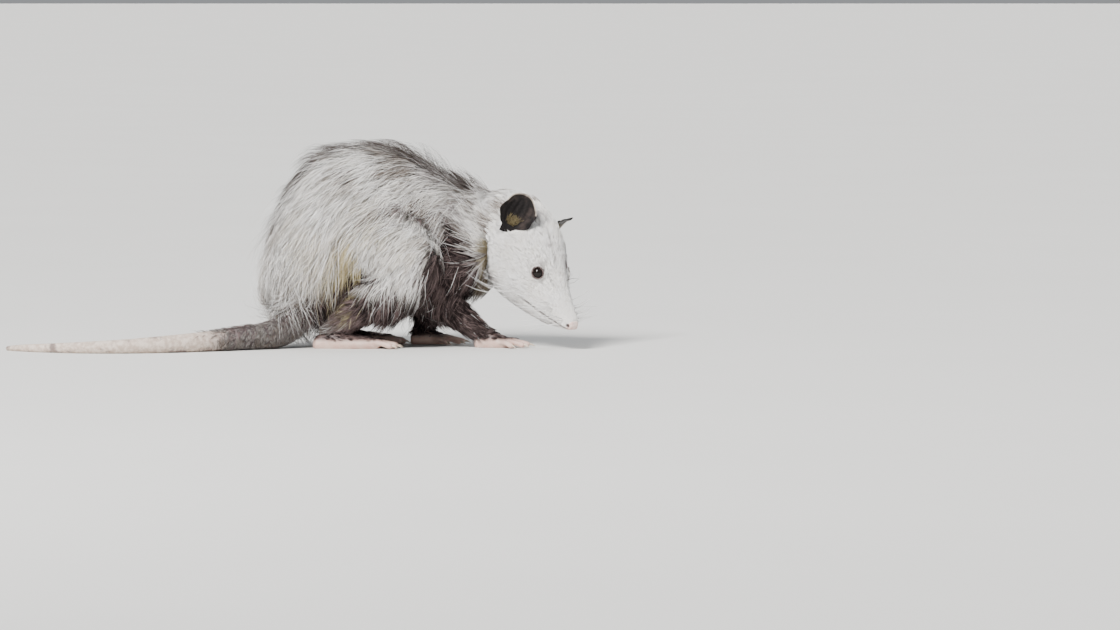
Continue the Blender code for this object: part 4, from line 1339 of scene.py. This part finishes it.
def put(tree, socket, value):
    """Sets a socket to a number or colour, or links another socket to it."""
    if isinstance(value, bpy.types.NodeSocket):
        tree.links.new(value, socket)
    elif socket.type == "VALUE" and not isinstance(value, tuple):
        socket.default_value = value
    elif socket.type == "RGBA" and isinstance(value, tuple):
        socket.default_value = (*value[:3], 1)


def times(tree, a, b):
    """One value times the other."""
    made = node(tree, "ShaderNodeMath", operation="MULTIPLY")
    put(tree, made.inputs[0], a)
    put(tree, made.inputs[1], b)
    return made.outputs[0]


def texture(tree, kind, output, **values):
    """A texture's output, read in the object's own coordinates."""
    made = node(tree, kind, **values)
    put(tree, made.inputs["Vector"], node(tree, "ShaderNodeTexCoord").outputs["Object"])
    return made.outputs[output]


def noise(tree, scale, detail):
    return texture(tree, "ShaderNodeTexNoise", "Fac", Scale=scale, Detail=detail, Roughness=0.55)


def cells(tree, scale, **values):
    return texture(tree, "ShaderNodeTexVoronoi", "Distance", Scale=scale, **values)


def eased(tree, value, low, high, start=0.0, end=1.0):
    """value mapped smoothly from low..high to start..end."""
    made = node(tree, "ShaderNodeMapRange", interpolation_type="SMOOTHSTEP")
    for key, number in (("From Min", low), ("From Max", high), ("To Min", start), ("To Max", end)):
        made.inputs[key].default_value = number
    put(tree, made.inputs["Value"], value)
    return made.outputs["Result"]


# Colours, as linear light.
CREAM = (0.82, 0.77, 0.70)
WHITE = (0.92, 0.91, 0.90)
UNDERFUR = (0.22, 0.175, 0.155)
TICKING = (0.12, 0.088, 0.072)
STAIN = (0.60, 0.49, 0.23)
OLIVE = (0.19, 0.145, 0.05)
SPINE_DARK = (0.04, 0.029, 0.026)
BLACKISH = (0.018, 0.012, 0.012)
DARK_PALE = (0.17, 0.125, 0.12)
NOSE_PINK = (0.85, 0.69, 0.62)
TOE_PINK = (0.68, 0.51, 0.44)
TAIL_SKIN = (0.50, 0.39, 0.32)
TAIL_DARK = (0.14, 0.10, 0.095)
EAR_BLACK = (0.006, 0.005, 0.005)
EAR_BROWN = (0.05, 0.036, 0.032)
EAR_RIM = (0.66, 0.58, 0.50)
EAR_GREY = (0.014, 0.011, 0.011)
TOE_RED = (0.62, 0.40, 0.34)
INSTEP = (0.10, 0.065, 0.06)
TAIL_PALE = (0.70, 0.60, 0.52)
TAIL_FURRED = (0.15, 0.115, 0.12)
NOSE_RED = (0.68, 0.45, 0.40)
NOSTRIL_SHADE = (0.035, 0.014, 0.013)
EYE_BLACK = (0.004, 0.003, 0.003)
EYE_BROWN = (0.012, 0.007, 0.005)
HORN_PALE = (0.70, 0.60, 0.48)
HORN_DARK = (0.42, 0.32, 0.24)
FLOOR_DARK = (0.70, 0.69, 0.67)
FLOOR_PALE = (0.74, 0.73, 0.71)


def fur_group():
    """Colour of the coat from its markings, with painted shade at the hairs' roots, shared by the skin and
    every tuft.
    """
    tree = bpy.data.node_groups.new("coat_colour", "ShaderNodeTree")
    for name in MARKS:
        tree.interface.new_socket(name, in_out="INPUT", socket_type="NodeSocketFloat")
    tree.interface.new_socket("colour", in_out="OUTPUT", socket_type="NodeSocketColor")
    inputs = tree.nodes.new("NodeGroupInput").outputs
    dark, white, stain, brown, ridge, tone, along = (inputs[name] for name in MARKS)
    pale = blended(tree, eased(tree, tone, 0.1, 0.9), CREAM, WHITE)
    grey = blended(tree, eased(tree, tone, 0.2, 0.55), TICKING, UNDERFUR)
    ticked = times(tree, eased(tree, tone, 0.5, 0.26), eased(tree, white, 0.0, 0.9, 0.85, 0.1))
    colour = blended(tree, ticked, pale, grey)
    # Hairs darken towards their roots: partly the real grey underfur, partly painted shade deep in the
    # coat, less of it on the white face.
    root_shade = eased(tree, along, 0.65, 0.0, 0.0, 0.8)
    root_shade = times(tree, root_shade, eased(tree, white, 0.0, 1.0, 1.0, 0.3))
    colour = blended(tree, root_shade, colour, UNDERFUR)
    colour = blended(tree, times(tree, stain, 0.8), colour, STAIN)
    colour = blended(tree, times(tree, brown, 0.85), colour, OLIVE)
    tip = times(tree, ridge, eased(tree, along, 0.2, 0.7, 0.5, 1.0))
    colour = blended(tree, times(tree, tip, eased(tree, tone, 0.9, 0.5)), colour, SPINE_DARK)
    night = blended(tree, eased(tree, tone, 0.42, 0.8), BLACKISH, DARK_PALE)
    colour = blended(tree, dark, colour, night)
    put(tree, tree.nodes.new("NodeGroupOutput").inputs["colour"], colour)
    return tree


def coat_paint(tree, marks=MARKS):
    """Hair of the coat, coloured by these markings of the mesh."""
    group = node(tree, "ShaderNodeGroup")
    group.node_tree = bpy.data.node_groups.get("coat_colour") or fur_group()
    for key in marks:
        put(tree, group.inputs[key], attribute(tree, key))
    return (group.outputs["colour"],)


def underfur_paint(tree):
    """Short fur flat on the skin, under the tufts."""
    (colour,) = coat_paint(tree, MARKS[:5])
    fine = noise(tree, 900, 4)
    put(tree, colour.node.inputs["tone"], eased(tree, fine, 0.3, 0.7, 0.25, 0.9))
    # At along 0.3 the skin under the tufts takes some of the painted shade of the hair roots.
    put(tree, colour.node.inputs["along"], 0.3)
    return colour, fine, 0.6, 0.0008


def foot_paint(tree):
    """Pink toes and soles, creased, with a greyer, furrier instep."""
    place = node(tree, "ShaderNodeSeparateXYZ")
    put(tree, place.inputs[0], node(tree, "ShaderNodeTexCoord").outputs["Object"])
    pink = blended(tree, eased(tree, noise(tree, 130, 3), 0.35, 0.7), TOE_PINK, TOE_RED)
    colour = blended(tree, eased(tree, place.outputs["Z"], 0.0055, 0.0105), pink, INSTEP)
    return colour, cells(tree, 900.0), 0.35, 0.0005


def tail_paint(tree):
    """Scaly naked tail with dark blotches, furred and darker at its root."""
    skin = blended(tree, eased(tree, noise(tree, 240, 3), 0.35, 0.65), TAIL_SKIN, TAIL_PALE)
    spots = times(tree, eased(tree, noise(tree, 48, 4), 0.50, 0.60), 0.8)
    furred = eased(tree, attribute(tree, "tail_along"), 0.54, 0.42)
    colour = blended(tree, furred, blended(tree, spots, skin, TAIL_DARK), TAIL_FURRED)
    edges = cells(tree, 620.0, feature="DISTANCE_TO_EDGE")
    return colour, eased(tree, edges, 0.0, 0.12), 0.5, 0.0005


def ear_paint(tree):
    """Thin black leathery skin, browner in places, with a pale upper rim."""
    grain = noise(tree, 700, 4)
    dark = blended(tree, eased(tree, grain, 0.35, 0.7), EAR_BLACK, EAR_GREY)
    lighter = times(tree, eased(tree, noise(tree, 75, 3), 0.48, 0.68), 0.6)
    dark = blended(tree, lighter, dark, EAR_BROWN)
    rim = eased(tree, noise(tree, 90, 2), 0.35, 0.6, 0.4, 0.9)
    rim = times(tree, attribute(tree, "ear_rim"), rim)
    return blended(tree, rim, dark, EAR_RIM), grain, 0.35, 0.0004


def nose_paint(tree):
    """Moist pale pink nose with a fine pebbled skin and painted shade in the nostrils."""
    colour = blended(tree, eased(tree, noise(tree, 350, 3), 0.4, 0.7), NOSE_PINK, NOSE_RED)
    # Painted shade in the nostrils, where the dark mark is.
    colour = blended(tree, attribute(tree, "dark"), colour, NOSTRIL_SHADE)
    return colour, cells(tree, 1500.0), 0.3, 0.0003


def grained(scale, detail, first, second):
    """A paint that mixes two colours by a grain of this scale."""
    return lambda tree: (blended(tree, noise(tree, scale, detail), first, second),)


def skin_materials():
    """The skin's materials, in the order of FACINGS."""
    rows = [
        ("fur_skin", 0.8, 0.2, underfur_paint),
        ("face_skin", 0.8, 0.2, underfur_paint),
        ("foot_skin", 0.5, 0.5, foot_paint),
        ("tail_skin", 0.55, 0.5, tail_paint),
        ("ear_skin", 0.5, 0.15, ear_paint),
        ("nose_skin", 0.36, 0.5, nose_paint),
    ]
    return [new_material(*row) for row in rows]


def make_eyes():
    """The two eyeballs."""
    finish = new_material("wet_eye", 0.05, 0.25, grained(160, 2, EYE_BLACK, EYE_BROWN))
    a = 2 * np.pi * np.arange(40)[:, None] / 40
    for side, sign in SIDES.items():
        middle, outward, along, up = eye_frame(sign)
        circle = np.cos(a) * along + np.sin(a) * up
        rings = []
        for b in np.radians(np.linspace(-86, 86, 27)):
            out, wide = EYE_RADIUS * math.sin(b), EYE_RADIUS * math.cos(b)
            rings.append(middle + outward * out + wide * circle)
        eye = mesh_object(f"eyeball_{side}", *lofted(np.array(rings)))
        eye.data.shade_smooth()
        eye.data.materials.append(finish)
        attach(eye, "root")
        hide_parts(f"eye_{side}")


def claw_rows(toe):
    """The rows of a curved tapered claw whose root is sunk in the toe's tip."""
    tip, before = np.array(toe[-1][:3]), np.array(toe[-2][:3])
    ahead = tip - before
    ahead[2] = 0
    ahead = unit(ahead)
    rows = []
    for share in (-0.15, 0.1, 0.35, 0.6, 0.8, 1.0):
        place = np.array((tip[0], tip[1], toe[-1][2] + 0.4)) + ahead * CLAW_LENGTH * share
        drop = 2.2 * max(share, 0) ** 2
        radius = CLAW_RADIUS * (1 - 0.82 * max(share, 0) ** 1.3)
        rows.append((place[0], place[1], place[2] - drop, radius, radius * 0.75))
    return rows


def make_claws():
    """One curved horn claw on every toe but the thumbs."""
    finish = new_material("claw_horn", 0.32, 0.5, grained(400, 3, HORN_PALE, HORN_DARK))
    for pair, side in LEGS:
        foot, spread = FEET[pair], TOES[pair][0]
        for number, toe in enumerate(spread["toes"], 1):
            rings = tube_rings(claw_rows(toe_path(spread, toe, pair, side)), 12, 12)
            claw = mesh_object(f"horn_{foot}_{side}_{number}", *lofted(rounded_ends(rings)))
            claw.data.shade_smooth()
            claw.data.materials.append(finish)
            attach(claw, "root")
            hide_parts(f"claw_{foot}_{side}_{number}")


FLESH_NODES = ["torso", "neck", "head", "nose", "tail_base", "tail_middle", "tail_tip"]
PAIRED_NODES = ["ear", "upper_arm", "forearm", "forefoot", "thigh", "shank", "hind_foot"]


def make_floor():
    """A plain pale floor far wider than the animal."""
    bpy.ops.mesh.primitive_plane_add(size=60, location=(0, 0, 0))
    floor = bpy.context.object
    floor.name = "floor"
    finish = new_material("pale_floor", 0.85, 0.5, grained(3.0, 3, FLOOR_DARK, FLOOR_PALE))
    floor.data.materials.append(finish)


def make_light(name, kind, place, power, **values):
    """A light of this kind that looks at the animal."""
    light = bpy.data.lights.new(name, kind)
    light.energy = power
    for key, value in values.items():
        setattr(light, key, value)
    obj = placed(name, light)
    obj.location = place
    obj.rotation_euler = (Vector((0, 0, 0.1)) - Vector(place)).to_track_quat("-Z", "Y").to_euler()


def make_lights():
    """Broad soft daylight from the camera's upper left, with a pale surround."""
    warm, cool = (1.0, 0.985, 0.96), (0.95, 0.98, 1.0)
    make_light("key_light", "SUN", (-1.3, -2.1, 2.5), 5.8, angle=math.radians(22), color=warm)
    make_light("fill_light", "SUN", (2.0, -2.2, 1.6), 0.4, angle=math.radians(80), color=cool)
    make_light("top_light", "SUN", (0.5, 1.6, 2.8), 1.2, angle=math.radians(60), color=cool)
    make_light("catch_light", "AREA", (-1.1, -1.8, 1.5), 30.0, shape="DISK", size=0.24)
    world = bpy.data.worlds.new("studio")
    world.use_nodes = True
    world.node_tree.nodes["Background"].inputs["Color"].default_value = (0.93, 0.96, 1.0, 1)
    world.node_tree.nodes["Background"].inputs["Strength"].default_value = 0.34
    bpy.context.scene.world = world


def make_camera():
    """The photo's view: nearly level, far off, with the same framing."""
    aim = Vector((np.array(CAMERA_AIM) - SHIFT) * MM)
    rise = math.radians(CAMERA_ELEVATION)
    away = Vector((0, -math.cos(rise), math.sin(rise))) * CAMERA_DISTANCE * MM
    camera = bpy.data.cameras.new("camera")
    camera.sensor_width = SENSOR
    camera.lens = SENSOR * CAMERA_DISTANCE / VIEW_WIDTH
    camera.clip_end = 100
    obj = placed("camera", camera)
    obj.location = aim + away
    obj.rotation_euler = (-away).to_track_quat("-Z", "Y").to_euler()
    bpy.context.scene.camera = obj


def dress():
    """Makes every piece and sets it on the frame."""
    draw = np.random.default_rng(SEED)
    skin = make_skin()
    unwrap(skin)
    for index, material in enumerate(skin_materials()):
        skin.data.materials[index] = material
    mark_skin(skin)
    surface = read_skin(skin)
    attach(skin, "root")
    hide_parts(*FLESH_NODES, *(f"{n}_{s}" for n in PAIRED_NODES for s in SIDES))
    for piece in coat_pieces(surface, draw):
        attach(piece, "root")
    make_eyes()
    make_claws()


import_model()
SHIFT = frame_shift()
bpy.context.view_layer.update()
make_camera()
make_lights()
make_floor()
dress()
